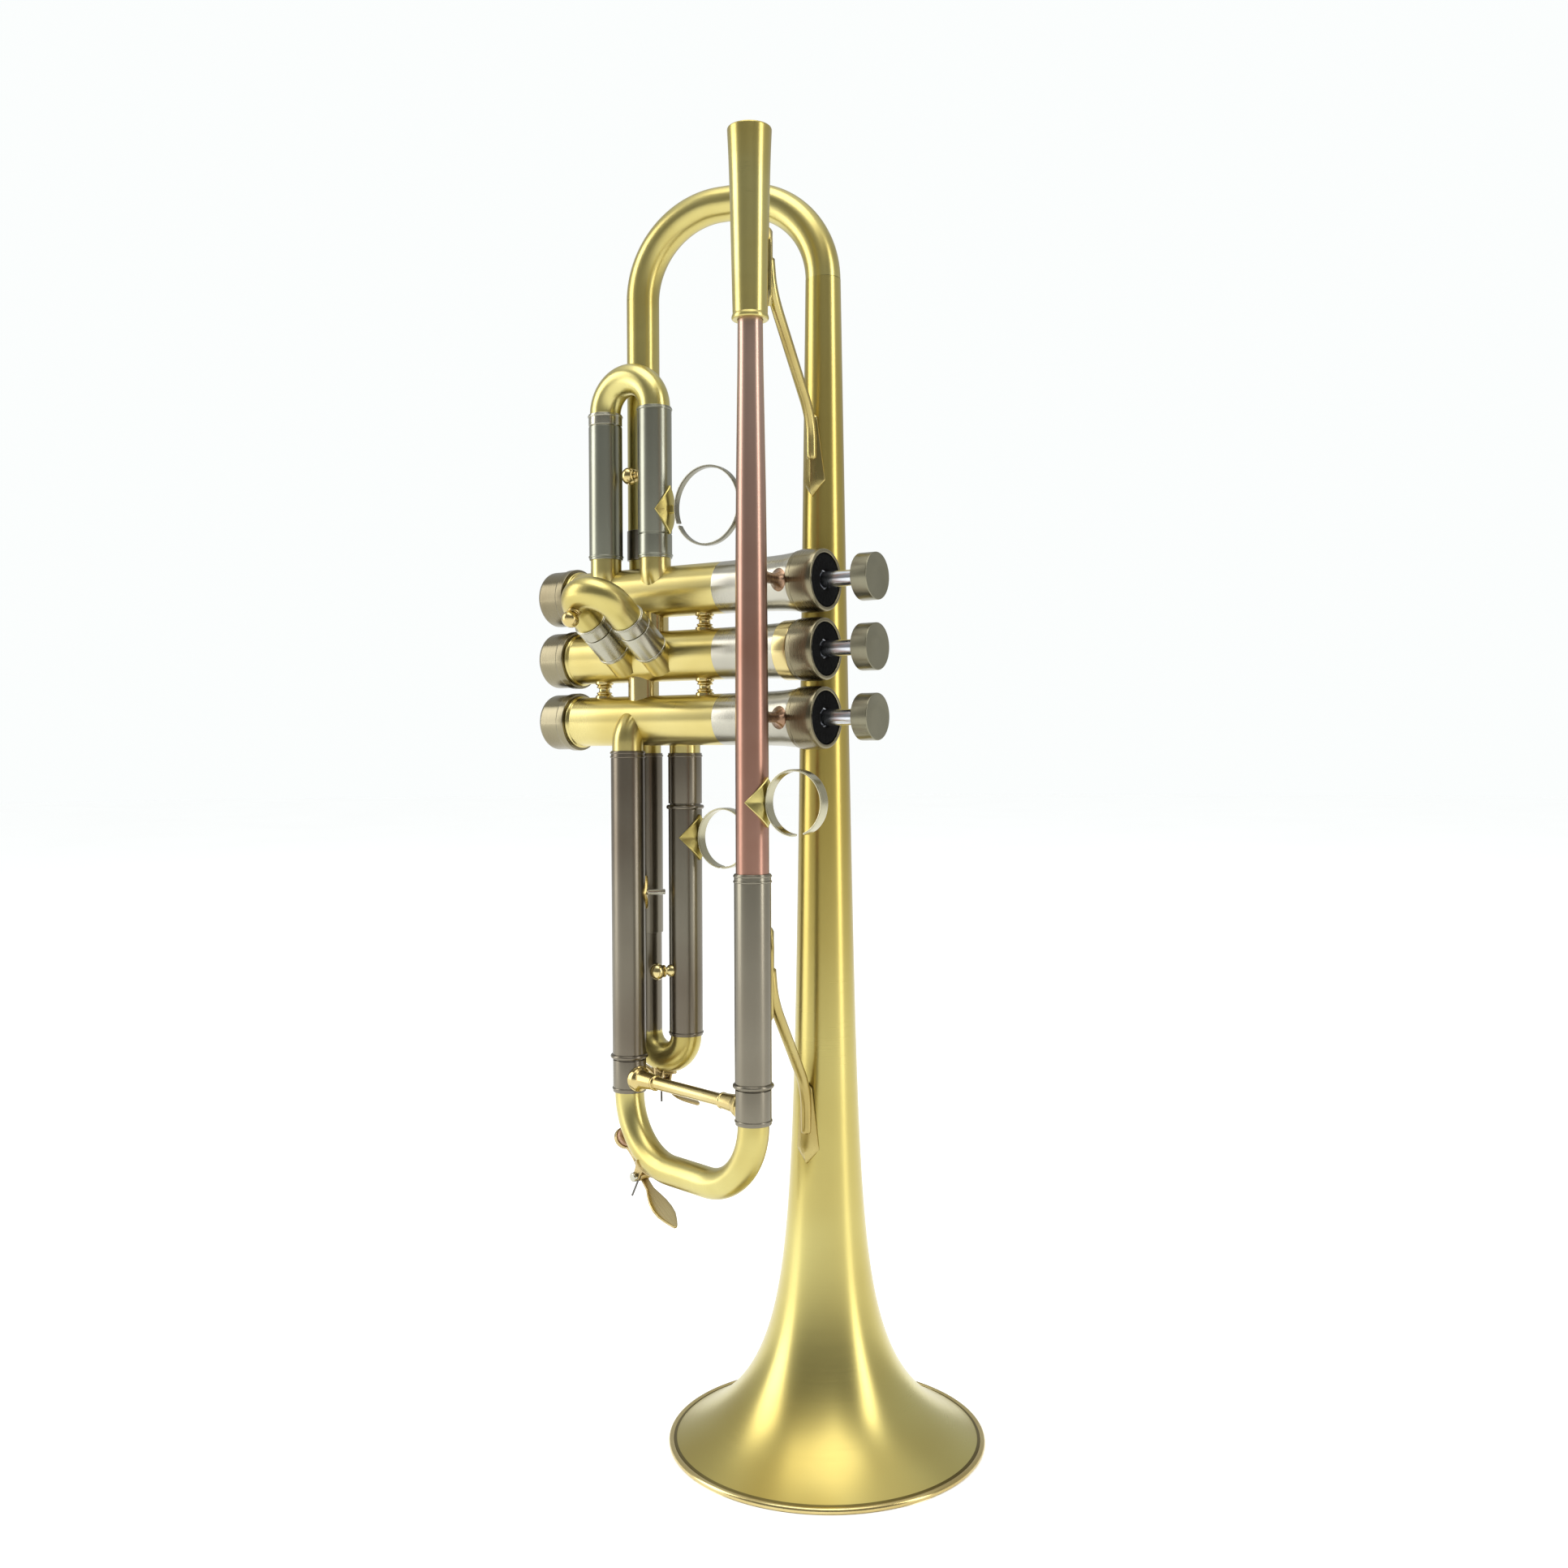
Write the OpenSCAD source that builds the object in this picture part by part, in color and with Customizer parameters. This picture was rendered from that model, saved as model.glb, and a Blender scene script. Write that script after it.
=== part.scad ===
// Piston-valve trumpet, standing on its bell.
// Millimetres. Origin: centre of the bell rim. +Z runs up the bell axis to the player's side,
// +X points to the finger buttons, -Y is the leadpipe side.

/* [Bell] */
// Diameter over the bell rim wire
bell_d = 122.6; // [118:0.1:128]
// Height of the bow above the rim
horn_h = 489; // [485:1:493]
// Radius of the bell tube where the bow starts
stem_r = 6.7; // [6.5:0.1:7]
// How fast the bell spout widens, per millimetre
spout_slope = 0.0152; // [0.013:0.0002:0.017]
// Length scale of the flare
flare_len = 93; // [85:1:100]
// Power of the flare
flare_pow = 4.23; // [3.9:0.01:4.5]
// Sheet thickness of the bell
bell_wall = 0.7; // [0.6:0.05:0.9]

/* [Tubing] */
// Bore radius of the valve tubing
bore_r = 5.7; // [5.5:0.05:5.8]
// Outer radius of the small bows and the inner slide legs
leg_r = 6.1; // [6.05:0.01:6.15]
// Outer radius of the slide sleeves
sleeve_r = 6.66; // [6.55:0.01:6.8]
// Radial running clearance of every slide leg
slide_gap = 0.05; // [0.03:0.01:0.08]

/* [Valves] */
// Distance between valve axes
valve_pitch = 25.26; // [25:0.02:25.6]
// Height of the middle valve
valve_z = 304.8; // [304:0.1:306]
// Outer radius of a casing
casing_r = 9.9; // [9.8:0.05:10]
// Outer radius of a piston
piston_r = 8.4; // [8.3:0.05:8.5]
// Outer radius of the caps
cap_r = 11.75; // [11.5:0.05:12]
// Valve stroke
stroke = 15.2; // [14.5:0.1:15.3]
// Radius of a finger button
button_r = 8.6; // [8:0.1:9]

/* [Hidden] */
$fn = 72;

// Places of the pipes, as [x, y]
lead_xy = [1, -51];
lower_xy = [-71, -32.5];
tail_xy = [-75.3, -15.9];
first_xy = [[-84.3, -29], [-59.5, -29]];
third_xy = [[-74.6, -16.5], [-54.9, -16.5]];
cross_x = [-65, -70];

// Valve axes run along X at this Y, and at these heights for valves 1, 2 and 3
valve_y = -23.5;
valve_zs = [for (i = [1, 0, -1]) valve_z + i * valve_pitch];

// Places along a valve, from the bottom cap to the button
x_cap_end = -116.8;
x_flange = -102.6;
x_casing = -101.4;
x_nickel = -29.7;
x_cap = 4.7;
x_cap_face = 15.5;
x_recess = 12;
x_felt = 15;
x_button = x_felt + 15.5;
button_t = 6.6;
x_port = -70;
port_step = 14;
x_piston_end = x_port - port_step - 8;
x_piston_top = x_port + port_step + 8;
x_guide = -29.7;
x_barrel_top = 8;
bore_gap = 0.05;
casing_bore = piston_r + bore_gap;
neck_r = 10.3;
barrel_r = 7;
stem_rod_r = 2.65;

// Slides
plate_t = 1.1;
ring_r = 11.9;
sleeve_bore = leg_r + slide_gap;
bead_r = 7.5;
nipple = 1.2;
cork = 2.5;
z_sleeve_end = 146.3;
z_ferrule = 133.2;
z_lead_top = 223.4;
z_lower_top = 267.6;
first_end = [396.4, 352.2];
first_bow_z = 401.4;
third_bow_z = 154.5;
third_join = 246.2;
third_split = 194.4;
knuckle_rise = 8.9;
second_x = [-74, -56];
second_tilt = 36.2;
second_y = -33.7;
second_root = 7.5;
second_stub = 3;
second_sleeve = 13;
second_ferrule = 6;
second_straight = 6;

// Leadpipe and receiver
rcv_top = 488;
rcv_end = 420.4;
rcv_mouth_r = 8;
rcv_neck_r = 6.2;
shank_r = 5.25;
shank_len = 26;

brass = "goldenrod";
nickel = "silver";
copper = "rosybrown";
steel = "lightslategray";

// ---------- Shared shapes ----------

// Hollow tube along +Z between two heights
module tube(xy, z0, z1, r, bore) {
    translate([xy[0], xy[1], z0]) difference() {
        cylinder(h = z1 - z0, r = r);
        translate([0, 0, -1]) cylinder(h = z1 - z0 + 2, r = bore);
    }
}

// Bead ring around a tube along Z: a round ring of section radius w just outside radius r
module bead(xy, z, r, w = 0.8) {
    translate([xy[0], xy[1], z]) rotate_extrude() difference() {
        translate([r, 0]) circle(r = w, $fn = 24);
        translate([0, -5]) square([r, 10]);
    }
}

// Hollow torus segment of the given bend radius, starting along +X and turning to +Y
module elbow(bend, angle, r, bore) {
    rotate_extrude(angle = angle) translate([bend, 0]) difference() {
        circle(r = r);
        circle(r = bore);
    }
}

// Solid cylinder along X at one valve
module along_x(i, x0, x1, r) {
    translate([x0, valve_y, valve_zs[i]]) rotate([0, 90, 0]) cylinder(h = x1 - x0, r = r);
}

// Ring along X at one valve
module ring_x(i, x0, x1, r, bore) {
    difference() {
        along_x(i, x0, x1, r);
        along_x(i, x0 - 1, x1 + 1, bore);
    }
}

// U bow between two points of a level plane: half torus
module u_bow(a, b, z, up) {
    d = b - a;
    translate([(a[0] + b[0]) / 2, (a[1] + b[1]) / 2, z])
        rotate([0, 0, atan2(d[1], d[0])])
            rotate([up ? 90 : -90, 0, 0]) elbow(norm(d) / 2, 180, leg_r, bore_r);
}

// Frame with its origin midway between two points, +X towards the second and +Z up or down
module between(a, b, z, up) {
    d = b - a;
    translate([(a[0] + b[0]) / 2, (a[1] + b[1]) / 2, z])
        rotate([0, 0, atan2(d[1], d[0])]) mirror([0, 0, up ? 0 : 1]) children();
}

// Squarer bow: two quarter turns and the straight between them, in the frame between its ends
module square_bow(span, corner, r, bore) {
    flat = span / 2 - corner;
    for (a = [0, 180]) rotate([0, 0, a]) translate([flat, 0, 0])
        rotate([90, 0, 0]) elbow(corner, 90, r, bore);
    translate([-flat, 0, corner]) rotate([0, 90, 0]) tube([0, 0], 0, 2 * flat, r, bore);
}

// Round rod between two points
module rod(p, q, r) {
    d = q - p;
    translate(p) rotate([0, acos(d[2] / norm(d)), atan2(d[1], d[0])]) cylinder(h = norm(d), r = r);
}

// Strip ring with its axis along Y, open over a gap at one angle
module strip_ring(x, y, z, r, wide, thick, gap_at, gap) {
    difference() {
        translate([x, y + wide / 2, z]) rotate([90, 0, 0]) difference() {
            cylinder(h = wide, r = r);
            translate([0, 0, -1]) cylinder(h = wide + 2, r = r - thick);
        }
        translate([x, y, z]) rotate([0, -gap_at, 0])
            translate([r / 2, -wide, -gap / 2]) cube([r, 2 * wide, gap]);
    }
}

// Diamond plate wrapped on a tube along Z, facing +X
module saddle_plate(xy, z, r, half_w, half_h) {
    translate([xy[0], xy[1], z]) intersection() {
        difference() {
            cylinder(h = 4 * half_h, r = r + plate_t, center = true);
            cylinder(h = 5 * half_h, r = r, center = true);
        }
        rotate([0, 90, 0]) linear_extrude(height = 2 * r)
            polygon([[half_h, 0], [0, half_w], [-half_h, 0], [0, -half_w]]);
    }
}

// Pull knob: a turned button on a short neck, along +X from the tube surface
module pull_knob(r, reach) {
    rotate([0, 90, 0]) rotate_extrude() polygon(concat(
        [[0, r - 1.5], [2.6, r - 1.5], [2.6, r + 0.9], [1.5, r + 1.5], [1.5, reach - 4.4]],
        [for (a = [-60 : 20 : 60]) [3.4 * cos(a * 0.75), reach - 2.6 + 2.6 * sin(a)]],
        [[1.2, reach], [0, reach]]));
}

// ---------- Bell ----------

// Outer radius of the bell at height z: a straight taper plus a power-law flare
function bell_r(z) = stem_r + spout_slope * (bow_z - z)
    + (bell_d / 2 - 0.9 - stem_r - spout_slope * bow_z) * pow(1 + z / flare_len, -flare_pow);
bow_corner = 34.5;
bow_z = horn_h - bow_corner - stem_r;
bell_steps = 46;
function bell_h(i) = bow_z * pow(i / bell_steps, 2.2);
bell_floor = 0.6;
bell_gap = 0.02;

// Cone just outside the bell between two heights
module bell_cone(z0, z1) {
    translate([0, 0, z0]) cylinder(h = z1 - z0, r1 = bell_r(z0 - bell_floor) + bell_gap,
        r2 = bell_r(z1 - bell_floor) + bell_gap);
}

module bell() {
    color(brass) rotate_extrude() polygon(concat(
        [for (i = [0 : bell_steps]) [bell_r(bell_h(i)), bell_floor
            + bell_h(i) * (bow_z - bell_floor) / bow_z]],
        [for (i = [bell_steps : -1 : 0]) [bell_r(bell_h(i)) - bell_wall
            * (1 + 0.4 * pow(1 - i / bell_steps, 6)), bell_floor
            + bell_h(i) * (bow_z - bell_floor) / bow_z]]));
}

// Rim wire under the edge of the bell, flat on its lower side
module bell_rim_wire() {
    color(brass) rotate_extrude() polygon([
        [bell_d / 2 - 2.4, 0], [bell_d / 2 - 0.5, 0], [bell_d / 2, 0.6], [bell_d / 2, 1.7],
        [bell_d / 2 - 0.5, 2.3], [bell_d / 2 - 0.9, 2.3], [bell_d / 2 - 0.9, bell_floor],
        [bell_d / 2 - 2.4, bell_floor]]);
}

module bell_bow() {
    color(brass) between([0, 0], tail_xy, bow_z, true)
        square_bow(norm(tail_xy), bow_corner, stem_r, stem_r - bell_wall);
}

// Tail pipe from the bow into casing 1, with its ferrule
module bell_tail() {
    tail_r = 6.5;
    bend = 7;
    z_bend = valve_zs[0] + knuckle_rise;
    z_ferrule_top = 350;
    color(brass) difference() {
        union() {
            tube(tail_xy, z_ferrule_top + 6, bow_z, tail_r, tail_r - 0.6);
            translate([tail_xy[0], tail_xy[1] - bend, z_bend])
                rotate([90, 0, 90]) rotate([0, 0, -90])
                    elbow(bend, 90, leg_r, bore_r);
            tube(tail_xy, z_bend, z_ferrule_top - 6, leg_r, bore_r);
        }
        along_x(0, x_casing, x_nickel, casing_r);
    }
    color(nickel) tube(tail_xy, z_ferrule_top - 6, z_ferrule_top + 6, tail_r + 0.35, bore_r);
}

// ---------- Leadpipe ----------

// Receiver: a tapering sleeve whose mouth takes the mouthpiece shank
module mouthpiece_receiver() {
    color(brass) translate([lead_xy[0], lead_xy[1], 0]) difference() {
        rotate_extrude() polygon([
            [4.5, rcv_end], [rcv_neck_r + 0.3, rcv_end], [rcv_neck_r + 0.5, rcv_end + 0.8],
            [rcv_neck_r + 0.3, rcv_end + 1.5], [rcv_neck_r + 0.05, rcv_end + 2.1],
            [rcv_neck_r + 0.55, rcv_end + 28], [rcv_neck_r + 1.2, rcv_end + 56],
            [rcv_mouth_r, rcv_top - 0.6], [rcv_mouth_r - 0.6, rcv_top], [4.5, rcv_top]]);
        translate([0, 0, rcv_top - shank_len]) cylinder(h = shank_len + 1, r = shank_r);
    }
}

// Leadpipe: slim under the receiver, wider towards the tuning slide
module leadpipe() {
    color(copper) translate([lead_xy[0], lead_xy[1], 0]) rotate_extrude() polygon([
        [leg_r, z_sleeve_end + 62], [leg_r, z_lead_top], [6, z_lead_top], [5.95, 275],
        [5.65, 332], [5.35, 361], [4.62, 406], [4.5, rcv_end], [4.5, rcv_top - shank_len - 2],
        [4.1, rcv_top - shank_len - 2], [4.1, 406], [4.9, 361], [5.2, 332], [5.5, 275],
        [5.6, z_lead_top], [bore_r, z_sleeve_end + 62]]);
}

module leadpipe_sleeve() {
    color(nickel) {
        tube(lead_xy, z_sleeve_end, z_lead_top, sleeve_r, sleeve_bore);
        bead(lead_xy, z_sleeve_end + 0.9, sleeve_r);
        bead(lead_xy, z_lead_top - 1.2, sleeve_r, 0.35);
        bead(lead_xy, z_lead_top - 2.6, sleeve_r, 0.25);
    }
}

module lower_sleeve() {
    color(nickel) {
        tube(lower_xy, z_sleeve_end, z_lower_top, sleeve_r, sleeve_bore);
        bead(lower_xy, z_sleeve_end + 0.9, sleeve_r);
        bead(lower_xy, z_lower_top - 1.2, sleeve_r, 0.3);
    }
}

// ---------- Valve block ----------

// Casing ports: [valve, angle about X from straight up, x]
port_r = 5.5;
ports = [
    [0, -38, tail_xy[0]], [0, 34, first_xy[0][0]], [0, 34, first_xy[1][0]], [0, 180, cross_x[0]],
    [1, 0, cross_x[0]], [1, 180, cross_x[1]],
    [2, 0, cross_x[1]], [2, -136, third_xy[0][0]], [2, -136, third_xy[1][0]],
    [2, 123, lower_xy[0]]];

// Casings 1 to 3, each with the ports of its own pipes
module valve_casings() {
    color(brass) for (i = [0 : 2]) difference() {
        union() {
            along_x(i, x_casing, x_nickel, casing_r);
            along_x(i, x_flange, x_casing, casing_r + 0.7);
        }
        along_x(i, x_flange - 1, x_nickel + 1, casing_bore);
        for (p = ports) if (p[0] == i) translate([p[2], valve_y, valve_zs[i]])
            rotate([p[1], 0, 0]) cylinder(h = casing_r + 2, r = port_r);
        if (i == 1) for (x = second_x) second_frame(x) translate([0, 0, -second_root])
            cylinder(h = second_root + 1, r = port_r);
    }
}

// Balusters: the wider nickel tops of the casings, with the thread neck under each cap
module valve_balusters() {
    color(nickel) for (i = [0 : 2]) translate([0, valve_y, valve_zs[i]]) rotate([0, 90, 0])
        rotate_extrude() polygon([
            [casing_bore, x_nickel], [casing_r, x_nickel], [casing_r, x_nickel + 14],
            [10.4, x_cap - 7], [11, x_cap - 1.6], [11, x_cap], [neck_r, x_cap],
            [neck_r, x_recess - 1.4], [casing_bore, x_recess - 1.4]]);
}

// Top caps: a skirt over the neck, a web with the stem hole and a round-edged felt recess
module top_caps() {
    edge = 2.4;
    color("darkkhaki") for (i = [0 : 2]) translate([0, valve_y, valve_zs[i]]) rotate([0, 90, 0])
        rotate_extrude() polygon(concat(
            [[neck_r, x_cap], [cap_r - 0.4, x_cap], [cap_r, x_cap + 0.5]],
            [for (a = [0 : 15 : 75]) [cap_r - edge + edge * cos(a),
                x_cap_face - edge + edge * sin(a)]],
            [[cap_r - edge, x_cap_face], [9.8, x_cap_face - 0.4], [9.8, x_recess],
             [3.1, x_recess], [3.1, x_recess - 1.4], [neck_r, x_recess - 1.4]]));
}

// Bottom caps: a knurl-band cup with a domed end and a drain hole
module bottom_caps() {
    color("darkkhaki") for (i = [0 : 2]) translate([0, valve_y, valve_zs[i]])
        rotate([0, 90, 0]) rotate_extrude() polygon([
            [9.2, x_flange], [cap_r, x_flange], [cap_r, x_flange - 3.4],
            [cap_r - 0.5, x_flange - 3.9], [cap_r - 0.5, x_cap_end + 1.6],
            [cap_r - 1.4, x_cap_end + 0.5], [cap_r - 2.6, x_cap_end], [1.6, x_cap_end],
            [1.6, x_cap_end + 1.2], [9.2, x_cap_end + 1.6]]);
}

module cap_felts() {
    color("dimgray") for (i = [0 : 2]) ring_x(i, x_recess, x_felt, 9.7, 3.4);
}

// Guides: a hub inside each spring barrel, with two tabs out through its slots
module valve_guides() {
    color("ivory") for (i = [0 : 2]) intersection() {
        ring_x(i, x_guide, x_guide + 1.6, casing_bore, 1);
        union() {
            along_x(i, x_guide, x_guide + 1.6, 5.8);
            translate([x_guide, valve_y - 20, valve_zs[i] - 1.6]) cube([1.6, 40, 3.2]);
        }
    }
}

// Short pipes that join neighbouring casings on the main windway
module crossover_tubes() {
    color(brass) for (i = [0 : 1]) difference() {
        translate([cross_x[i], valve_y, valve_zs[i + 1]]) difference() {
            cylinder(h = valve_pitch, r = leg_r);
            translate([0, 0, -1]) cylinder(h = valve_pitch + 2, r = bore_r);
        }
        for (k = [i, i + 1]) along_x(k, x_casing, x_nickel, casing_r);
    }
}

// Turned spool braces between the casings
module casing_braces() {
    spool = [[0, 0], [3.6, 0], [3.6, 1.7], [2.6, 2.1], [3.1, 2.5], [2.2, 3.3]];
    mid = valve_pitch / 2;
    color(brass) for (p = [[-39.8, 0], [-39.8, 1], [-90.2, 1]]) difference() {
        translate([p[0], valve_y, valve_zs[p[1] + 1]]) rotate_extrude() polygon(concat(
            [[0, 0]], [for (q = spool) [q[0], mid - 4 + q[1]]],
            [for (k = [5 : -1 : 1]) [spool[k][0], mid + 4 - spool[k][1]]],
            [[3.6, mid + 10], [0, mid + 10]]));
        for (k = [0 : 2]) along_x(k, x_casing, x_nickel, casing_r);
    }
}

// ---------- Braces ----------

// Spear-shaped foot on a tube along Z, facing the unit direction [cos(a), sin(a)]
module spear_foot(a, z0, z1, r, thick, point_up) {
    mid = (z0 + z1) / 2;
    half = (z1 - z0) / 2;
    tip = point_up ? 1 : -1;
    rotate([0, 0, a]) translate([0, 0, mid]) intersection() {
        translate([0, 0, -half]) difference() {
            cylinder(h = 2 * half, r = r + thick);
            translate([0, 0, -1]) cylinder(h = 2 * half + 2, r = r);
        }
        rotate([90, 0, 90]) linear_extrude(height = r + thick + 1) polygon([
            [0, tip * half], [3, tip * (half - 7)], [2.4, -tip * (half - 3)],
            [0, -tip * half], [-2.4, -tip * (half - 3)], [-3, tip * (half - 7)]]);
    }
}

// Brace from a foot on the leadpipe side to a foot on the bell, with one bend in its rod
module bell_brace(top, low, end, foot) {
    difference() {
        union() {
            rod(top, low, brace_r);
            translate(low) sphere(r = brace_r + 0.06);
            rod(low, end, brace_r);
            spear_foot(-90, foot[0], foot[1], foot[2], foot[3], false);
        }
        bell_cone(foot[0] - 10, foot[1] + 30);
        translate([lead_xy[0], lead_xy[1], 100]) cylinder(h = 360, r = foot[4]);
    }
}
brace_r = 1.9;

// Upper brace: from the receiver's far side down to the bell tube
module upper_bell_brace() {
    a = 52;
    color(brass) {
        translate([lead_xy[0], lead_xy[1], 0]) spear_foot(a, 426, 454, 7.35, 1.5, true);
        bell_brace([lead_xy[0] + 8.1 * cos(a), lead_xy[1] + 8.1 * sin(a), 428],
            [0.6, -9.8, 393], [0.2, -9.4, 380], [364, 396, 7.85, 1.4, 8.87]);
    }
}

// Lower brace: from the leadpipe sleeve down to the bell spout
module lower_bell_brace() {
    a = 55;
    color(brass) {
        translate([lead_xy[0], lead_xy[1], 0]) spear_foot(a, 170, 204, sleeve_r, 1.5, true);
        bell_brace([lead_xy[0] + 8.5 * cos(a), lead_xy[1] + 8.5 * sin(a), 174],
            [0.4, -14.6, 139], [0.2, -14.4, 126], [110, 141, 11.6, 3.2, sleeve_r + 1.52]);
    }
}

// Posts that hold the leadpipe off casings 1 and 3
module leadpipe_posts() {
    color(copper) for (i = [0, 2]) difference() {
        translate([lead_xy[0] + 0.5, lead_xy[1], valve_zs[i]]) rotate([-90, 0, 0])
            rotate_extrude() polygon([[0, 0], [4.2, 0], [4.2, 6.4], [2.4, 9], [2.4, 13],
                [4.4, 17], [4.4, 25], [0, 25]]);
        translate([0, valve_y, valve_zs[i]]) rotate([0, 90, 0]) rotate_extrude() polygon([
            [0, x_nickel], [casing_r, x_nickel], [casing_r, x_nickel + 14],
            [10.4, x_cap - 7], [11, x_cap - 1.6], [11, x_cap], [11.1, x_cap], [11.1, 0],
            [cap_r + 0.3, x_cap - 0.01], [cap_r + 0.3, 30], [0, 30]]);
        translate([lead_xy[0], lead_xy[1], 200]) cylinder(h = 200, r = 6.05);
    }
}

module pinky_ring() {
    z = 249;
    pipe_r = 6.02;
    color(brass) saddle_plate(lead_xy, z, pipe_r, 6.8, 9);
    color(nickel) difference() {
        strip_ring(lead_xy[0] + pipe_r + plate_t + ring_r - 0.3, lead_xy[1], z, ring_r, 4.6, 0.8,
            278, 5);
        translate([lead_xy[0], lead_xy[1], z])
            cylinder(h = 30, r = pipe_r + plate_t / 2, center = true);
    }
}

// Small hollow-ended post on the lower sleeve, turned towards the third slide
module sleeve_post() {
    z = 211.6;
    reach = sleeve_r + 8;
    translate([lower_xy[0], lower_xy[1], 0]) rotate([0, 0, 50]) {
        color(brass) saddle_plate([0, 0], z, sleeve_r, 5, 6.5);
        color(nickel) translate([sleeve_r + plate_t / 2, 0, z]) rotate([0, 90, 0]) difference() {
            cylinder(h = reach - sleeve_r - plate_t / 2, r = 1.1);
            translate([0, 0, 4]) cylinder(h = 8, r = 0.6);
        }
    }
}

// ---------- First valve slide ----------

module first_valve_knuckles() {
    bend = 8;
    z_bend = valve_zs[0] + knuckle_rise;
    ends = [343.6, 342.6];
    color(brass) for (k = [0, 1]) difference() {
        union() {
            translate([first_xy[k][0], first_xy[k][1] + bend, z_bend])
                rotate([90, 0, 90]) rotate([0, 0, 180]) elbow(bend, 90, leg_r, bore_r);
            tube(first_xy[k], z_bend, ends[k], leg_r, bore_r);
        }
        along_x(0, x_casing, x_nickel, casing_r);
    }
}

// Fixed sleeve on the low leg; inner leg with its ferrule on the other
module first_slide_fixed_tubes() {
    color(nickel) {
        tube(first_xy[0], 343.6, first_end[0], sleeve_r, sleeve_bore);
        bead(first_xy[0], 344.9, sleeve_r, 0.3);
        tube(first_xy[1], 342.6, first_end[1] - 0.4, sleeve_r, bore_r);
        bead(first_xy[1], 343.8, sleeve_r, 0.3);
        tube(first_xy[1], first_end[1] - 0.4, 398, leg_r, bore_r);
    }
}

module first_bow() {
    color(brass) u_bow(first_xy[0], first_xy[1], first_bow_z, true);
}

module first_inner_leg() {
    color(nickel) {
        tube(first_xy[0], 350, first_end[0] + 0.4, leg_r, bore_r);
        tube(first_xy[0], first_end[0] + 0.4, first_bow_z, sleeve_r, bore_r);
        bead(first_xy[0], first_bow_z - 0.8, sleeve_r, 0.3);
    }
}

module first_outer_sleeve() {
    color(nickel) {
        tube(first_xy[1], first_end[1], first_bow_z, sleeve_r, sleeve_bore);
        bead(first_xy[1], first_bow_z - 0.8, sleeve_r, 0.3);
    }
}

module first_knob() {
    color(brass) translate([first_xy[1][0], first_xy[1][1], 376]) rotate([0, 0, 180])
        difference() {
            pull_knob(sleeve_r, 15.6);
            cylinder(h = 30, r = sleeve_r, center = true);
        }
}

module thumb_ring() {
    z = 361;
    r = 15.3;
    stub = 3.2;
    base = first_xy[1][0] + sleeve_r + plate_t / 2;
    color(brass) saddle_plate(first_xy[1], z, sleeve_r, 4.5, 9.4);
    color(brass) translate([base, first_xy[1][1] - 1, z - 1.6]) cube([stub, 2, 3.2]);
    color(nickel) difference() {
        strip_ring(base + stub - 0.3 + r, first_xy[1][1], z, r, 2.6, 0.7, 205, 1.2);
        translate([base, first_xy[1][1] - 1, z - 1.6]) cube([stub, 2, 3.2]);
    }
}

// ---------- Second valve slide ----------

// Local frame of the second slide: +Z runs out along its legs from the side of casing 2
module second_frame(x) {
    translate([x, second_y, valve_z]) rotate([90 - second_tilt, 0, 0]) children();
}

module second_valve_knuckles() {
    color(brass) difference() {
        for (x = second_x) second_frame(x) tube([0, 0], -second_root, second_stub, leg_r, bore_r);
        along_x(1, x_casing, x_nickel, casing_r);
    }
}

module second_slide_sleeves() {
    color(nickel) for (x = second_x) second_frame(x) {
        tube([0, 0], second_stub, second_stub + second_sleeve, sleeve_r, sleeve_bore);
        bead([0, 0], second_stub + 1.2, sleeve_r, 0.3);
    }
}

second_end = second_stub + second_sleeve;

module second_legs() {
    color(nickel) for (x = second_x) second_frame(x) {
        tube([0, 0], second_stub + 0.5, second_end + 0.3, leg_r, bore_r);
        tube([0, 0], second_end + 0.3, second_end + second_ferrule, sleeve_r, bore_r);
        bead([0, 0], second_end + second_ferrule - 0.8, sleeve_r, 0.3);
    }
}

module second_bow() {
    z = second_end + second_ferrule;
    color(brass) {
        for (x = second_x) second_frame(x) tube([0, 0], z, z + second_straight, leg_r, bore_r);
        second_frame((second_x[0] + second_x[1]) / 2) translate([0, 0, z + second_straight])
            rotate([90, 0, 0]) elbow((second_x[1] - second_x[0]) / 2, 180, leg_r, bore_r);
    }
}

// Knob on the side of the second bow that faces the player's hand
module second_knob() {
    color(brass) second_frame(second_x[0] + 3.2)
        translate([0, 0, second_end + second_ferrule + second_straight + 5.4])
            rotate([0, 0, -90])
            difference() {
                pull_knob(leg_r - 0.6, 12.4);
                translate([0, 5.8, -5.4]) rotate([90, 0, 90])
                    rotate_extrude(angle = 180) translate([9, 0]) circle(r = leg_r);
            }
}

// ---------- Third valve slide ----------

// Elbow from the lower sleeve, and the two knuckles of the third slide
module third_valve_knuckles() {
    lower_bend = 9;
    bend = 7;
    z_bend = valve_zs[2] - knuckle_rise;
    color(brass) difference() {
        union() {
            translate([lower_xy[0], lower_xy[1] + lower_bend, z_bend])
                rotate([90, 0, 90]) rotate([0, 0, 90]) elbow(lower_bend, 90, leg_r, bore_r);
            tube(lower_xy, z_lower_top, z_bend, leg_r, bore_r);
            for (p = third_xy) {
                translate([p[0], p[1] - bend, z_bend]) rotate([90, 0, 90])
                    elbow(bend, 90, leg_r, bore_r);
                tube(p, 266.7, z_bend, leg_r, bore_r);
            }
        }
        along_x(2, x_casing, x_nickel, casing_r);
    }
}

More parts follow.
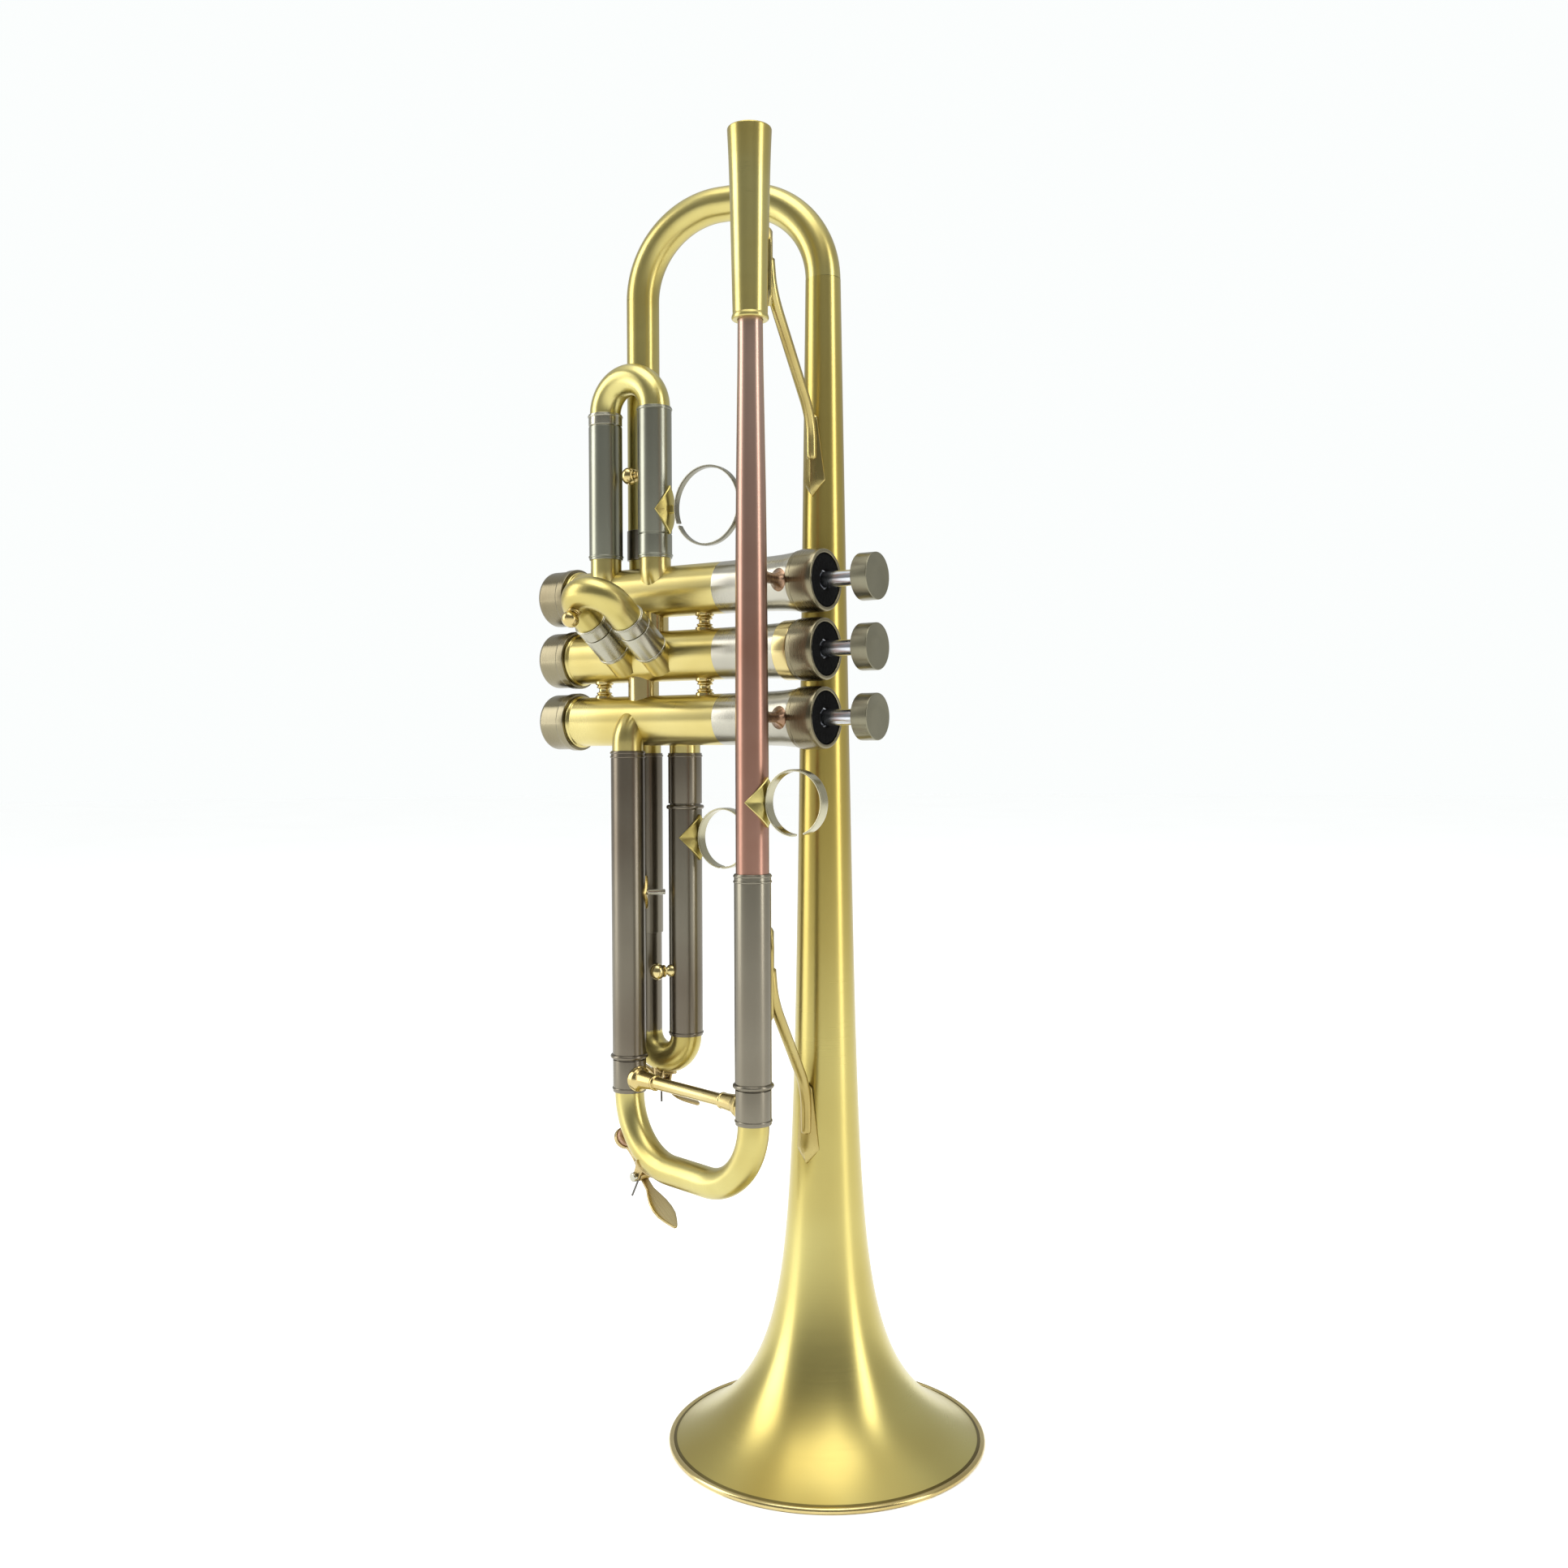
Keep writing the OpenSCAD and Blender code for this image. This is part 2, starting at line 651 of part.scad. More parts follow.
// Fixed sleeve on the low leg; ferrule and inner leg on the other
module third_slide_fixed_tubes() {
    color(nickel) {
        tube(third_xy[0], third_split, 266.7, sleeve_r, sleeve_bore);
        tube(third_xy[1], third_join + 0.5, 266.7, sleeve_r, bore_r);
        bead(third_xy[1], 265.5, sleeve_r, 0.3);
        tube(third_xy[1], 163, third_join + 0.5, leg_r, bore_r);
    }
}

// Bow with the nipple of its water key
module third_bow() {
    color(brass) {
        difference() {
            u_bow(third_xy[0], third_xy[1], third_bow_z, false);
            third_corner_frame() rotate([0, 90 - third_cork_at, 0])
                translate([0, 0, third_turn]) cylinder(h = 12, r = 1.8);
        }
        third_corner_frame() rotate([0, 90 - third_cork_at, 0])
            translate([0, 0, third_turn + bore_r - 0.5]) difference() {
                cylinder(h = leg_r - bore_r + 0.5 + nipple, r = 1.8);
                translate([0, 0, -1]) cylinder(h = 5, r = 1);
            }
    }
}

module third_outer_sleeve() {
    color(nickel) {
        tube(third_xy[1], third_bow_z, third_join, sleeve_r, sleeve_bore);
        bead(third_xy[1], third_join - 0.9, sleeve_r);
        bead(third_xy[1], third_bow_z + 1, sleeve_r, 0.3);
    }
}

module third_inner_leg() {
    color(nickel) tube(third_xy[0], third_bow_z, 260, leg_r, bore_r);
}

module third_knob() {
    color(brass) translate([third_xy[1][0], third_xy[1][1], 180.5]) rotate([0, 0, -120])
        difference() {
            pull_knob(sleeve_r, 15.2);
            cylinder(h = 30, r = sleeve_r, center = true);
        }
}

module finger_ring() {
    z = 233.4;
    color(brass) saddle_plate(third_xy[1], z, sleeve_r, 7.6, 9);
    color(nickel) difference() {
        strip_ring(third_xy[1][0] + sleeve_r + plate_t + ring_r - 0.3, third_xy[1][1], z, ring_r,
            4.6, 0.8, 265, 1.5);
        translate([third_xy[1][0], third_xy[1][1], z])
            cylinder(h = 30, r = sleeve_r + plate_t / 2, center = true);
    }
}

// ---------- Main tuning slide ----------

// Bow between the ferrules, with the nipple that the water key's cork closes
tuning_r = 5.75;
tuning_bore = 5.35;
tuning_corner = 26.5;
tuning_span = norm(lead_xy - lower_xy);
nipple_at = 213;

// Frame in the plane of the bow, at the centre of its left-hand quarter turn, +Z up
module tuning_corner_frame() {
    between(lower_xy, lead_xy, z_ferrule, true)
        translate([tuning_corner - tuning_span / 2, 0, 0]) children();
}

module tuning_bow() {
    color(brass) {
        difference() {
            between(lower_xy, lead_xy, z_ferrule, false)
                square_bow(tuning_span, tuning_corner, tuning_r, tuning_bore);
            tuning_corner_frame() rotate([0, 90 - nipple_at, 0])
                translate([0, 0, tuning_corner]) cylinder(h = 12, r = 2.2);
        }
        tuning_corner_frame() rotate([0, 90 - nipple_at, 0])
            translate([0, 0, tuning_corner + tuning_bore - 0.5]) difference() {
                cylinder(h = tuning_r - tuning_bore + 0.5 + nipple, r = 2.2);
                translate([0, 0, -1]) cylinder(h = 5, r = 1.3);
            }
    }
}

// Inner legs and the ferrules that join them to the bow
module tuning_legs() {
    color(nickel) for (p = [lead_xy, lower_xy]) {
        tube(p, z_sleeve_end - 0.4, z_sleeve_end + 60, leg_r, bore_r);
        tube(p, z_ferrule, z_sleeve_end - 0.4, sleeve_r - 0.1, tuning_bore);
        bead(p, z_ferrule + 1.2, sleeve_r - 0.1, 0.3);
    }
}

// Brace between the ferrules: a rod with a conical sleeve at each end
module tuning_brace() {
    z = 138.9;
    d = lead_xy - lower_xy;
    span = norm(d);
    color(brass) difference() {
        translate([lower_xy[0], lower_xy[1], z]) rotate([0, 0, atan2(d[1], d[0])])
            rotate([0, 90, 0]) rotate_extrude() polygon([
                [0, 4], [5, 4], [5, 7.6], [3.5, 8.2], [3.2, 9.4], [2.6, 16.5], [2.1, 17],
                [2.1, span - 17], [2.6, span - 16.5], [3.2, span - 9.4], [3.5, span - 8.2],
                [5, span - 7.6], [5, span - 4], [0, span - 4]]);
        for (p = [lead_xy, lower_xy])
            translate([p[0], p[1], 130]) cylinder(h = 20, r = sleeve_r - 0.1);
    }
}

// ---------- Water keys ----------

// A key works in the plane of its bow, given here as X across and Z up from the centre of the
// bow's turn. Its cork closes a nipple; its spoon lies beyond the pivot.
key_pin_r = 0.8;
key_ear = 4.6;

// Ears at the pivot with a saddle on the bow, and the pivot screw through them
module key_mount(pivot, turn_r, tube_r) {
    a = atan2(pivot[1], pivot[0]);
    saddle = 1;
    color(brass) difference() {
        rotate([0, 90 - a, 0]) translate([0, 0, turn_r]) {
            for (s = [-1, 1]) translate([-1.9, s * 3 - 0.6, 0])
                cube([3.8, 1.2, norm(pivot) - turn_r + 1.9]);
            translate([-4.5, -3.6, 0]) cube([9, 7.2, tube_r + saddle]);
        }
        rotate([90, 0, 0]) rotate_extrude() translate([turn_r, 0]) circle(r = tube_r + 0.01);
    }
    color(brass) translate([pivot[0], 0, pivot[1]]) rotate([90, 0, 0]) {
        cylinder(h = 2 * key_ear, r = key_pin_r, center = true);
        translate([0, 0, 3.6]) cylinder(h = 1.3, r = 1.9);
    }
}

// Lever: a hub on the screw, an arm to the cork cup and a leaf-shaped spoon
module key_lever(pivot, cup_at, cup_r, turn, arm, spoon_at, spoon, width) {
    color(brass) difference() {
        union() {
            translate([pivot[0], 0, pivot[1]]) {
                rotate([90, 0, 0]) cylinder(h = 4.2, r = 1.8, center = true);
                rotate([0, -arm[1], 0]) translate([0, -1.3, -0.6]) cube([arm[0], 2.6, 1.2]);
                rotate([0, -spoon_at, 0]) {
                    translate([0, -1.5, -0.6]) cube([spoon - 2 * width, 3, 1.2]);
                    translate([spoon - 2 * width, 0, -0.6]) cylinder(h = 1.2, r = width * 0.8);
                    translate([spoon - width, 0, -0.6]) cylinder(h = 1.2, r = width);
                }
            }
            rotate([0, 90 - cup_at, 0]) translate([0, 0, turn + nipple + cork])
                cylinder(h = 1, r = cup_r);
        }
        translate([pivot[0], 0, pivot[1]]) rotate([90, 0, 0])
            cylinder(h = 20, r = key_pin_r + slide_gap, center = true);
    }
}

module key_cork(at, turn, r) {
    color("sienna") rotate([0, 90 - at, 0]) translate([0, 0, turn + nipple])
        cylinder(h = cork, r = r);
}

water_pivot = [-18.5, -32];
module water_key_mount() {
    tuning_corner_frame() key_mount(water_pivot, tuning_corner, tuning_r);
}

module water_key_lever() {
    difference() {
        tuning_corner_frame() key_lever(water_pivot, nipple_at, 4.2, tuning_corner + tuning_r,
            [17, 135], -37, 26, 4.4);
        water_key_cork();
    }
}

module water_key_cork() {
    tuning_corner_frame() key_cork(nipple_at, tuning_corner + tuning_r, 3.6);
}

third_pivot = [-2.2, -20.5];
third_cork_at = 219.5;
third_turn = (third_xy[1][0] - third_xy[0][0]) / 2;
module third_corner_frame() {
    between(third_xy[0], third_xy[1], third_bow_z, true) children();
}

module third_key_mount() {
    third_corner_frame() key_mount(third_pivot, third_turn, leg_r);
}

module third_key_lever() {
    third_corner_frame() {
        key_lever(third_pivot, third_cork_at, 3.4, third_turn + leg_r, [15.3, 150], -20, 19, 3.4);
        key_cork(third_cork_at, third_turn + leg_r, 2.9);
    }
}

// ---------- Moving valve parts ----------

// Piston: a thin barrel with three cross ports, and the slotted spring barrel above it
module piston(i) {
    color("lightgray") {
        difference() {
            union() {
                ring_x(i, x_piston_end, x_piston_top, piston_r, piston_r - 0.7);
                for (x = [x_piston_end, x_piston_top - 1.2]) ring_x(i, x, x + 1.2, piston_r - 0.7, 2);
                intersection() {
                    along_x(i, x_piston_end, x_piston_top, piston_r - 0.7);
                    for (k = [-1 : 1]) port(i, k, leg_r + 0.2);
                }
            }
            for (k = [-1 : 1]) port(i, k, bore_r);
        }
        difference() {
            union() {
                ring_x(i, x_piston_top, x_barrel_top, barrel_r, barrel_r - 0.6);
                ring_x(i, x_barrel_top - 1.6, x_barrel_top, barrel_r - 0.6, 1.5);
            }
            translate([x_guide - 0.6, valve_y - 20, valve_zs[i] - 1.8])
                cube([stroke + 3, 40, 3.6]);
        }
    }
}

// One cross port of a piston, turned a little from its neighbours
module port(i, k, r) {
    translate([x_port + k * port_step, valve_y, valve_zs[i]]) rotate([k * 25, 0, 0])
        cylinder(h = 30, r = r, center = true);
}

module stem(i) {
    color(steel) {
        along_x(i, x_barrel_top, x_button - 1.2, stem_rod_r);
        along_x(i, x_button - 1.2, x_button + 3.4, 1.6);
    }
}

module finger_button(i) {
    e = 0.5;
    color("darkkhaki") translate([0, valve_y, valve_zs[i]]) rotate([0, 90, 0])
        rotate_extrude() polygon([
            [1.6, x_button], [button_r - e, x_button], [button_r, x_button + e],
            [button_r, x_button + button_t - e], [button_r - e, x_button + button_t],
            [0, x_button + button_t - 0.3], [0, x_button + 3.4], [1.6, x_button + 3.4]]);
}

// Spring between the guide and the top of the barrel, as a plain sleeve
module valve_spring(i) {
    color(steel) ring_x(i, x_guide + 1.7, x_barrel_top - 1.7, 5.2, 4.2);
}

bell();
bell_rim_wire();
bell_bow();
bell_tail();
mouthpiece_receiver();
leadpipe();
leadpipe_sleeve();
lower_sleeve();
valve_casings();
valve_balusters();
top_caps();
bottom_caps();
cap_felts();
valve_guides();
crossover_tubes();
casing_braces();
upper_bell_brace();
lower_bell_brace();
leadpipe_posts();
pinky_ring();
sleeve_post();
first_valve_knuckles();
first_slide_fixed_tubes();
second_valve_knuckles();
second_slide_sleeves();
third_valve_knuckles();
third_slide_fixed_tubes();
piston(0);  // piston_1
piston(1);  // piston_2
piston(2);  // piston_3
stem(0);  // stem_1
stem(1);  // stem_2
stem(2);  // stem_3
finger_button(0);  // finger_button_1
finger_button(1);  // finger_button_2
finger_button(2);  // finger_button_3
valve_spring(0);  // valve_spring_1
valve_spring(1);  // valve_spring_2
valve_spring(2);  // valve_spring_3
tuning_bow();
tuning_legs();
tuning_brace();
water_key_mount();
water_key_lever();
water_key_cork();
first_bow();
first_inner_leg();
first_outer_sleeve();
first_knob();
thumb_ring();
second_bow();
second_legs();
second_knob();
third_bow();
third_outer_sleeve();
third_inner_leg();
third_knob();
finger_ring();
third_key_mount();
third_key_lever();
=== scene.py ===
"""Piston-valve trumpet standing on its bell: brushed brass, nickel silver and red brass.

Lengths in the shape functions are millimetres in the part's own frame. Every shape is a grid of
points: stations along a path or profile (rows) by points around a section (columns).
"""
import bpy
import bmesh
import numpy as np
from mathutils import Matrix


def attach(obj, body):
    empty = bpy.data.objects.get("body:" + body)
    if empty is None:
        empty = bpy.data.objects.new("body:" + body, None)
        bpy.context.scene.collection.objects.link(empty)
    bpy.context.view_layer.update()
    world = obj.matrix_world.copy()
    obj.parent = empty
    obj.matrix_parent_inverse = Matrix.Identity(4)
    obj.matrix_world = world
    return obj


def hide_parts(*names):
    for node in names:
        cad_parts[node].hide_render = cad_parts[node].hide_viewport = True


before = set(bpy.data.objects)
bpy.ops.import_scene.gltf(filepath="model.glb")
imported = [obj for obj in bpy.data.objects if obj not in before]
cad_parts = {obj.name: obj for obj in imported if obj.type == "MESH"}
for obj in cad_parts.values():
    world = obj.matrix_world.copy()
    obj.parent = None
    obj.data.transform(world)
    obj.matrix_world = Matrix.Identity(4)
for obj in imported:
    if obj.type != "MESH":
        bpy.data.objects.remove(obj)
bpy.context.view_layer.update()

MM = 0.001
X, Y, Z = np.eye(3)
TURN = 2 * np.pi

# ---------- Places, in millimetres ----------
LEAD = np.array([1.0, -51.0, 0.0])
LOWER = np.array([-71.0, -32.5, 0.0])
TAIL = np.array([-75.3, -15.9, 0.0])
FIRST = np.array([[-84.3, -29.0, 0.0], [-59.5, -29.0, 0.0]])
THIRD = np.array([[-74.6, -16.5, 0.0], [-54.9, -16.5, 0.0]])
VALVE_Y = -23.5
VALVE_Z = (330.06, 304.8, 279.54)
LEG_R = 6.1
SLEEVE_R = 6.66
SLEEVE_BORE = 6.15
BORE_R = 5.7
BOW_TUBE_R = 5.75
FERRULE_R = 6.56
BELL_R = 61.3
HEIGHT = 489
BOW_CORNER = 34.5
BOW_Z = HEIGHT - BOW_CORNER - 6.7
FERRULE_Z = 133.2
SLEEVE_Z = 146.3
TUNING_CORNER = 26.5
BRACE_Z = 138.9
KNUCKLE_RISE = 8.9
WALL_R = 9.2
PLATE_SINK = 0.25
SMOOTH_TO = np.radians(38)
MERGE_DISTANCE = 2e-7


# ---------- Grids ----------
def wrap_angles(n):
    """n angles evenly round a circle, the last one left out: 2 pi k / n."""
    return np.arange(n) * TURN / n


def line(a, b, n=2):
    """Points a + (b - a) t for n values of t from 0 to 1."""
    t = np.linspace(0, 1, n)[:, None]
    return np.asarray(a, float) * (1 - t) + np.asarray(b, float) * t


def arc(centre, u, v, r, a0, a1, n=24):
    """Points centre + r (u cos a + v sin a) for n angles a from a0 to a1 degrees."""
    a = np.radians(np.linspace(a0, a1, n))[:, None]
    return np.asarray(centre, float) + r * (np.cos(a) * u + np.sin(a) * v)


def join(*runs):
    """Runs of points end to end, each later run without its first point."""
    return np.concatenate([runs[0]] + [r[1:] for r in runs[1:]])


def unit(v):
    """v divided by its length, row by row."""
    v = np.asarray(v, float)
    return v / np.linalg.norm(v, axis=-1, keepdims=True)


def softened(points, radii, n=5, closed=True):
    """A polyline with each corner p replaced by the curve (1-t)^2 a + 2 t (1-t) p + t^2 b, where
    a and b lie one radius away on its two sides, or half a side if that is shorter."""
    p = np.asarray(points, float)
    r = np.broadcast_to(np.asarray(radii, float), len(p))[:, None]
    back, ahead = np.roll(p, 1, 0) - p, np.roll(p, -1, 0) - p
    lb = np.linalg.norm(back, axis=1, keepdims=True)
    la = np.linalg.norm(ahead, axis=1, keepdims=True)
    a = p + back / lb * np.minimum(r, lb / 2)
    b = p + ahead / la * np.minimum(r, la / 2)
    if not closed:
        a[0], b[0], a[-1], b[-1] = p[0], p[0], p[-1], p[-1]
    t = np.linspace(0, 1, n)[None, :, None]
    curve = (1 - t) ** 2 * a[:, None] + 2 * t * (1 - t) * p[:, None] + t ** 2 * b[:, None]
    return curve.reshape(-1, 2)


def turned(profile, at, axis=Z, n=96, closed=True):
    """Profile points (t, r) turned about an axis: at + axis t + r (u cos a + v sin a).
    The grain is (r cos a, r sin a, distance along the profile)."""
    p = np.asarray(profile, float)
    u = unit(np.cross(axis, X if abs(axis[0]) < 0.9 else Y))
    v = np.cross(axis, u)
    a = wrap_angles(n)
    ring = np.cos(a)[None, :, None] * u + np.sin(a)[None, :, None] * v
    points = np.asarray(at, float) + p[:, :1, None] * axis + p[:, 1:, None] * ring
    s = np.concatenate([[0], np.cumsum(np.linalg.norm(np.diff(p, axis=0), axis=1))])
    parts = np.broadcast_arrays(p[:, 1:] * np.cos(a), p[:, 1:] * np.sin(a), s[:, None])
    return points, np.stack(parts, -1), closed


def swept(path, side, section, scale=None):
    """A section (columns) carried along a path (rows): p + x (t cross side) + y side, with t the
    path's direction and (x, y) the section times the row's scale. The grain is (x, y, s)."""
    path = np.asarray(path, float)
    step = np.gradient(path, axis=0)
    moving = np.flatnonzero(np.linalg.norm(step, axis=1) > 1e-9)
    nearest = np.abs(np.arange(len(path))[:, None] - moving).argmin(1)
    t = unit(step[moving[nearest]])
    side = np.broadcast_to(np.asarray(side, float), path.shape)
    lift = unit(np.cross(t, side))
    side = np.cross(lift, t)
    section = np.asarray(section, float)
    if section.ndim == 2:
        section = np.broadcast_to(section, (len(path),) + section.shape)
    if scale is not None:
        scale = np.asarray(scale, float)
        section = section * (scale[:, None, None] if scale.ndim == 1 else scale[:, None, :])
    points = path[:, None] + section[..., :1] * lift[:, None] + section[..., 1:] * side[:, None]
    s = np.concatenate([[0], np.cumsum(np.linalg.norm(np.diff(path, axis=0), axis=1))])
    s = np.broadcast_to(s[:, None, None], section.shape[:2] + (1,))
    return points, np.concatenate([section, s], -1), False


def band(at, s0, s1, r, bore, soft=0.25, steps=6, axis=Z, columns=72):
    """A softened band round an axis from s0 to s1, between the radii bore and r."""
    return turned(softened([(s0, bore), (s0, r), (s1, r), (s1, bore)], soft, steps), at, axis,
                  columns)


def round_section(n=56):
    """The unit circle (cos a, sin a)."""
    a = wrap_angles(n)
    return np.stack([np.cos(a), np.sin(a)], -1)


def flat_section(thick, wide, n=40, power=7):
    """A rounded rectangle as the superellipse |2x / thick|^p + |2y / wide|^p = 1."""
    a = wrap_angles(n)
    c, s = np.cos(a), np.sin(a)
    k = 2 / power
    return np.stack([np.sign(c) * np.abs(c) ** k * thick / 2,
                     np.sign(s) * np.abs(s) ** k * wide / 2], -1)


def pipe(path, side, outer, wall=0.6, n=56):
    """A tube with a wall: out along the path at radius r, back at r - wall, ends joined."""
    path = np.asarray(path, float)
    r = np.broadcast_to(np.asarray(outer, float), len(path))
    there = swept(path, side, round_section(n), r)
    back = swept(path, side, round_section(n), r - wall)
    return (np.concatenate([there[0], back[0][::-1]]),
            np.concatenate([there[1], back[1][::-1]]), True)


def capped(path, side, section, edge=0.25, scale=None):
    """A solid bar: the section along the path, drawn in to a point at both ends with the
    corner rounded over the edge length."""
    path = np.asarray(path, float)
    k = np.ones(len(path)) if scale is None else np.asarray(scale, float)
    first, last = unit(path[1] - path[0]), unit(path[-1] - path[-2])
    ends = np.array([0.0, 0.0, 0.3, 1.0]) * edge
    inset = np.array([0.0, 0.75, 0.93, 1.0])
    head = path[0] + first * ends[:, None]
    tail = path[-1] - last * ends[::-1, None]
    k = np.concatenate([k[0] * inset, k[1:-1], k[-1] * inset[::-1]]) if k.ndim == 1 else \
        np.concatenate([k[:1] * inset[:, None], k[1:-1], k[-1:] * inset[::-1, None]])
    return swept(np.concatenate([head, path[1:-1], tail]), side, section, k)


def wrapped(shape, at, z, r, azimuth, rise, shrink):
    """A plate bent round an upright tube of radius r. Its shape is (across, up) in the flat;
    each row is the shape scaled by shrink at height rise above the tube, and the last rows
    go down into it. A point lies at azimuth + across / r round the tube."""
    shrink = shrink if shrink.ndim == 2 else np.stack([shrink, shrink], -1)
    shrink = np.concatenate([shrink, shrink[-1:], shrink[-1:] * 0])
    rise = np.concatenate([rise, [-PLATE_SINK, -PLATE_SINK]])
    flat = shape[None] * shrink[:, None, :]
    ang = np.radians(azimuth) + flat[..., 0] / r
    rr = r + rise[:, None]
    points = np.stack([at[0] + rr * np.cos(ang), at[1] + rr * np.sin(ang), z + flat[..., 1]], -1)
    return points, np.concatenate([flat, rr[..., None] + 0 * flat[..., :1]], -1), False


def outline(corners, n=10):
    """The sides of a closed polygon, each as n points, corners kept."""
    c = np.asarray(corners, float)
    t = np.linspace(0, 1, n, endpoint=False)[None, :, None]
    return (c[:, None] * (1 - t) + np.roll(c, -1, 0)[:, None] * t).reshape(-1, 2)


# ---------- From grids to pieces ----------
def grid_quads(index, closed):
    """Faces between neighbouring rows and columns. Columns join up; rows do where it is closed."""
    low, high = (index, np.roll(index, -1, 0)) if closed else (index[:-1], index[1:])
    return np.stack([low, np.roll(low, -1, 1), np.roll(high, -1, 1), high], -1).reshape(-1, 4)


def piece(name, grids, material, body, slot, *nodes):
    """One object from grids of points. Points that meet are merged, so a row drawn in to one
    point becomes a pole."""
    verts, grains, ways, quads, base = [], [], [], [], 0
    for points, grain, closed in grids:
        rows, cols = points.shape[:2]
        quads.append(grid_quads(base + np.arange(rows * cols).reshape(rows, cols), closed))
        verts.append(points.reshape(-1, 3) * MM)
        grains.append(grain.reshape(-1, 3) * MM)
        ways.append(np.gradient(points, axis=0).reshape(-1, 3))
        base += rows * cols
    mesh = bpy.data.meshes.new(name)
    mesh.from_pydata(np.concatenate(verts), [], np.concatenate(quads))
    way = np.concatenate(ways)
    way[np.linalg.norm(way, axis=1) < 1e-9] = Z
    for title, values in (("grain", np.concatenate(grains)), ("lengthwise", unit(way))):
        held = mesh.attributes.new(title, "FLOAT_VECTOR", "POINT")
        held.data.foreach_set("vector", values.astype(np.float32).ravel())
    work = bmesh.new()
    work.from_mesh(mesh)
    bmesh.ops.remove_doubles(work, verts=work.verts, dist=MERGE_DISTANCE)
    bmesh.ops.recalc_face_normals(work, faces=work.faces)
    work.to_mesh(mesh)
    work.free()
    mesh.shade_smooth()
    mesh.set_sharp_from_angle(angle=SMOOTH_TO)
    obj = bpy.data.objects.new(name, mesh)
    bpy.context.scene.collection.objects.link(obj)
    mesh.materials.append(material)
    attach(obj, body)
    if nodes:
        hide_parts(*nodes)
    return obj


# ---------- Finishes ----------
class Nodes:
    """A short way to add and link nodes, in a new material or in a tree that is given."""

    def __init__(self, name, tree=None):
        if tree is None:
            self.material = bpy.data.materials.new(name)
            self.material.use_nodes = True
            tree = self.material.node_tree
            self.shader = tree.nodes["Principled BSDF"]
        self.tree = tree

    def add(self, kind, inputs=(), **values):
        node = self.tree.nodes.new(kind)
        for key, value in values.items():
            setattr(node, key, value)
        for key, value in dict(inputs).items():
            self.put(node.inputs[key], value)
        return node

    def put(self, socket, value):
        if isinstance(value, bpy.types.NodeSocket):
            self.tree.links.new(value, socket)
        else:
            socket.default_value = value

    def noise(self, source, scale, detail, rough):
        """Noise on source coordinates stretched by scale."""
        place = self.add("ShaderNodeMapping", {"Vector": source, "Scale": scale})
        settings = {"Vector": place.outputs[0], "Scale": 1.0, "Detail": detail, "Roughness": rough}
        return self.add("ShaderNodeTexNoise", settings).outputs[0]

    def span(self, value, low, high, to_low, to_high, kind="LINEAR"):
        """value carried from [low, high] to [to_low, to_high], held at the ends."""
        limits = {0: value, 1: low, 2: high, 3: to_low, 4: to_high}
        return self.add("ShaderNodeMapRange", limits, interpolation_type=kind).outputs[0]

    def math(self, operation, a, b):
        return self.add("ShaderNodeMath", {0: a, 1: b}, operation=operation).outputs[0]

    def emboss(self, height, strength, distance):
        """A bump of the height on the shader's normal."""
        bump = self.add("ShaderNodeBump",
                        {"Strength": strength, "Distance": distance, "Height": height})
        self.put(self.shader.inputs["Normal"], bump.outputs[0])

    def blend(self, factor, a, b):
        """Colour a turned into colour b by the factor."""
        return self.add("ShaderNodeMix", {0: factor, 6: a, 7: b}, data_type="RGBA").outputs[2]


ALONG = (3200, 3200, 30)
AROUND = (30, 30, 3600)
SIDEWAYS = (25, 2500, 2500)
HAIRLINE = 0.00002
DRAWN_OUT = 0.55


def metal(name, light, deep, rough, brush=AROUND, attribute=True, scratch=0.25, spread=0.05,
          bump=0.05, cloud=26.0, painted_shading=None):
    """Brushed metal: hairlines of fine noise turn the light colour a little deeper, roughen it
    and raise it; slow clouds of tarnish shift the colour and the roughness over centimetres.
    Its highlights are drawn out along each piece's length. painted_shading gives the heights in
    metres over which the metal turns to a painted colour and back, and that colour: painted shade
    where that colour is darker, painted light where it is lighter."""
    n = Nodes(name)
    place = n.add("ShaderNodeTexCoord").outputs["Object"]
    source = place
    if attribute:
        source = n.add("ShaderNodeAttribute", attribute_name="grain").outputs["Vector"]
        way = n.add("ShaderNodeAttribute", attribute_name="lengthwise").outputs["Vector"]
        n.put(n.shader.inputs["Tangent"], way)
        n.shader.inputs["Anisotropic"].default_value = DRAWN_OUT
    streak = n.noise(source, brush, 3.0, 0.6)
    tarnish = n.noise(place, (cloud, cloud, cloud), 3.0, 0.5)
    colour = n.blend(n.span(tarnish, 0.35, 0.68, 0.0, 1.0), light + (1.0,), deep + (1.0,))
    # painted light and shade by height: between the given heights the colour blends towards the
    # painted colour
    if painted_shading:
        height = n.add("ShaderNodeSeparateXYZ", {0: place}).outputs[2]
        share = n.math("MULTIPLY", n.span(height, *painted_shading[0], 0.0, 0.85),
                       n.span(height, *painted_shading[1], 1.0, 0.1))
        colour = n.blend(share, colour, painted_shading[2] + (1.0,))
    dimmed = tuple(0.75 * c for c in light) + (1.0,)
    colour = n.blend(n.span(streak, 0.35, 0.75, 0.0, scratch), colour, dimmed)
    n.put(n.shader.inputs["Base Color"], colour)
    n.shader.inputs["Metallic"].default_value = 1.0
    n.put(n.shader.inputs["Roughness"],
          n.math("ADD", n.span(streak, 0.3, 0.7, -spread, spread),
                 n.span(tarnish, 0.3, 0.7, rough - 0.02, rough + 0.03)))
    n.emboss(streak, bump, HAIRLINE)
    return n.material


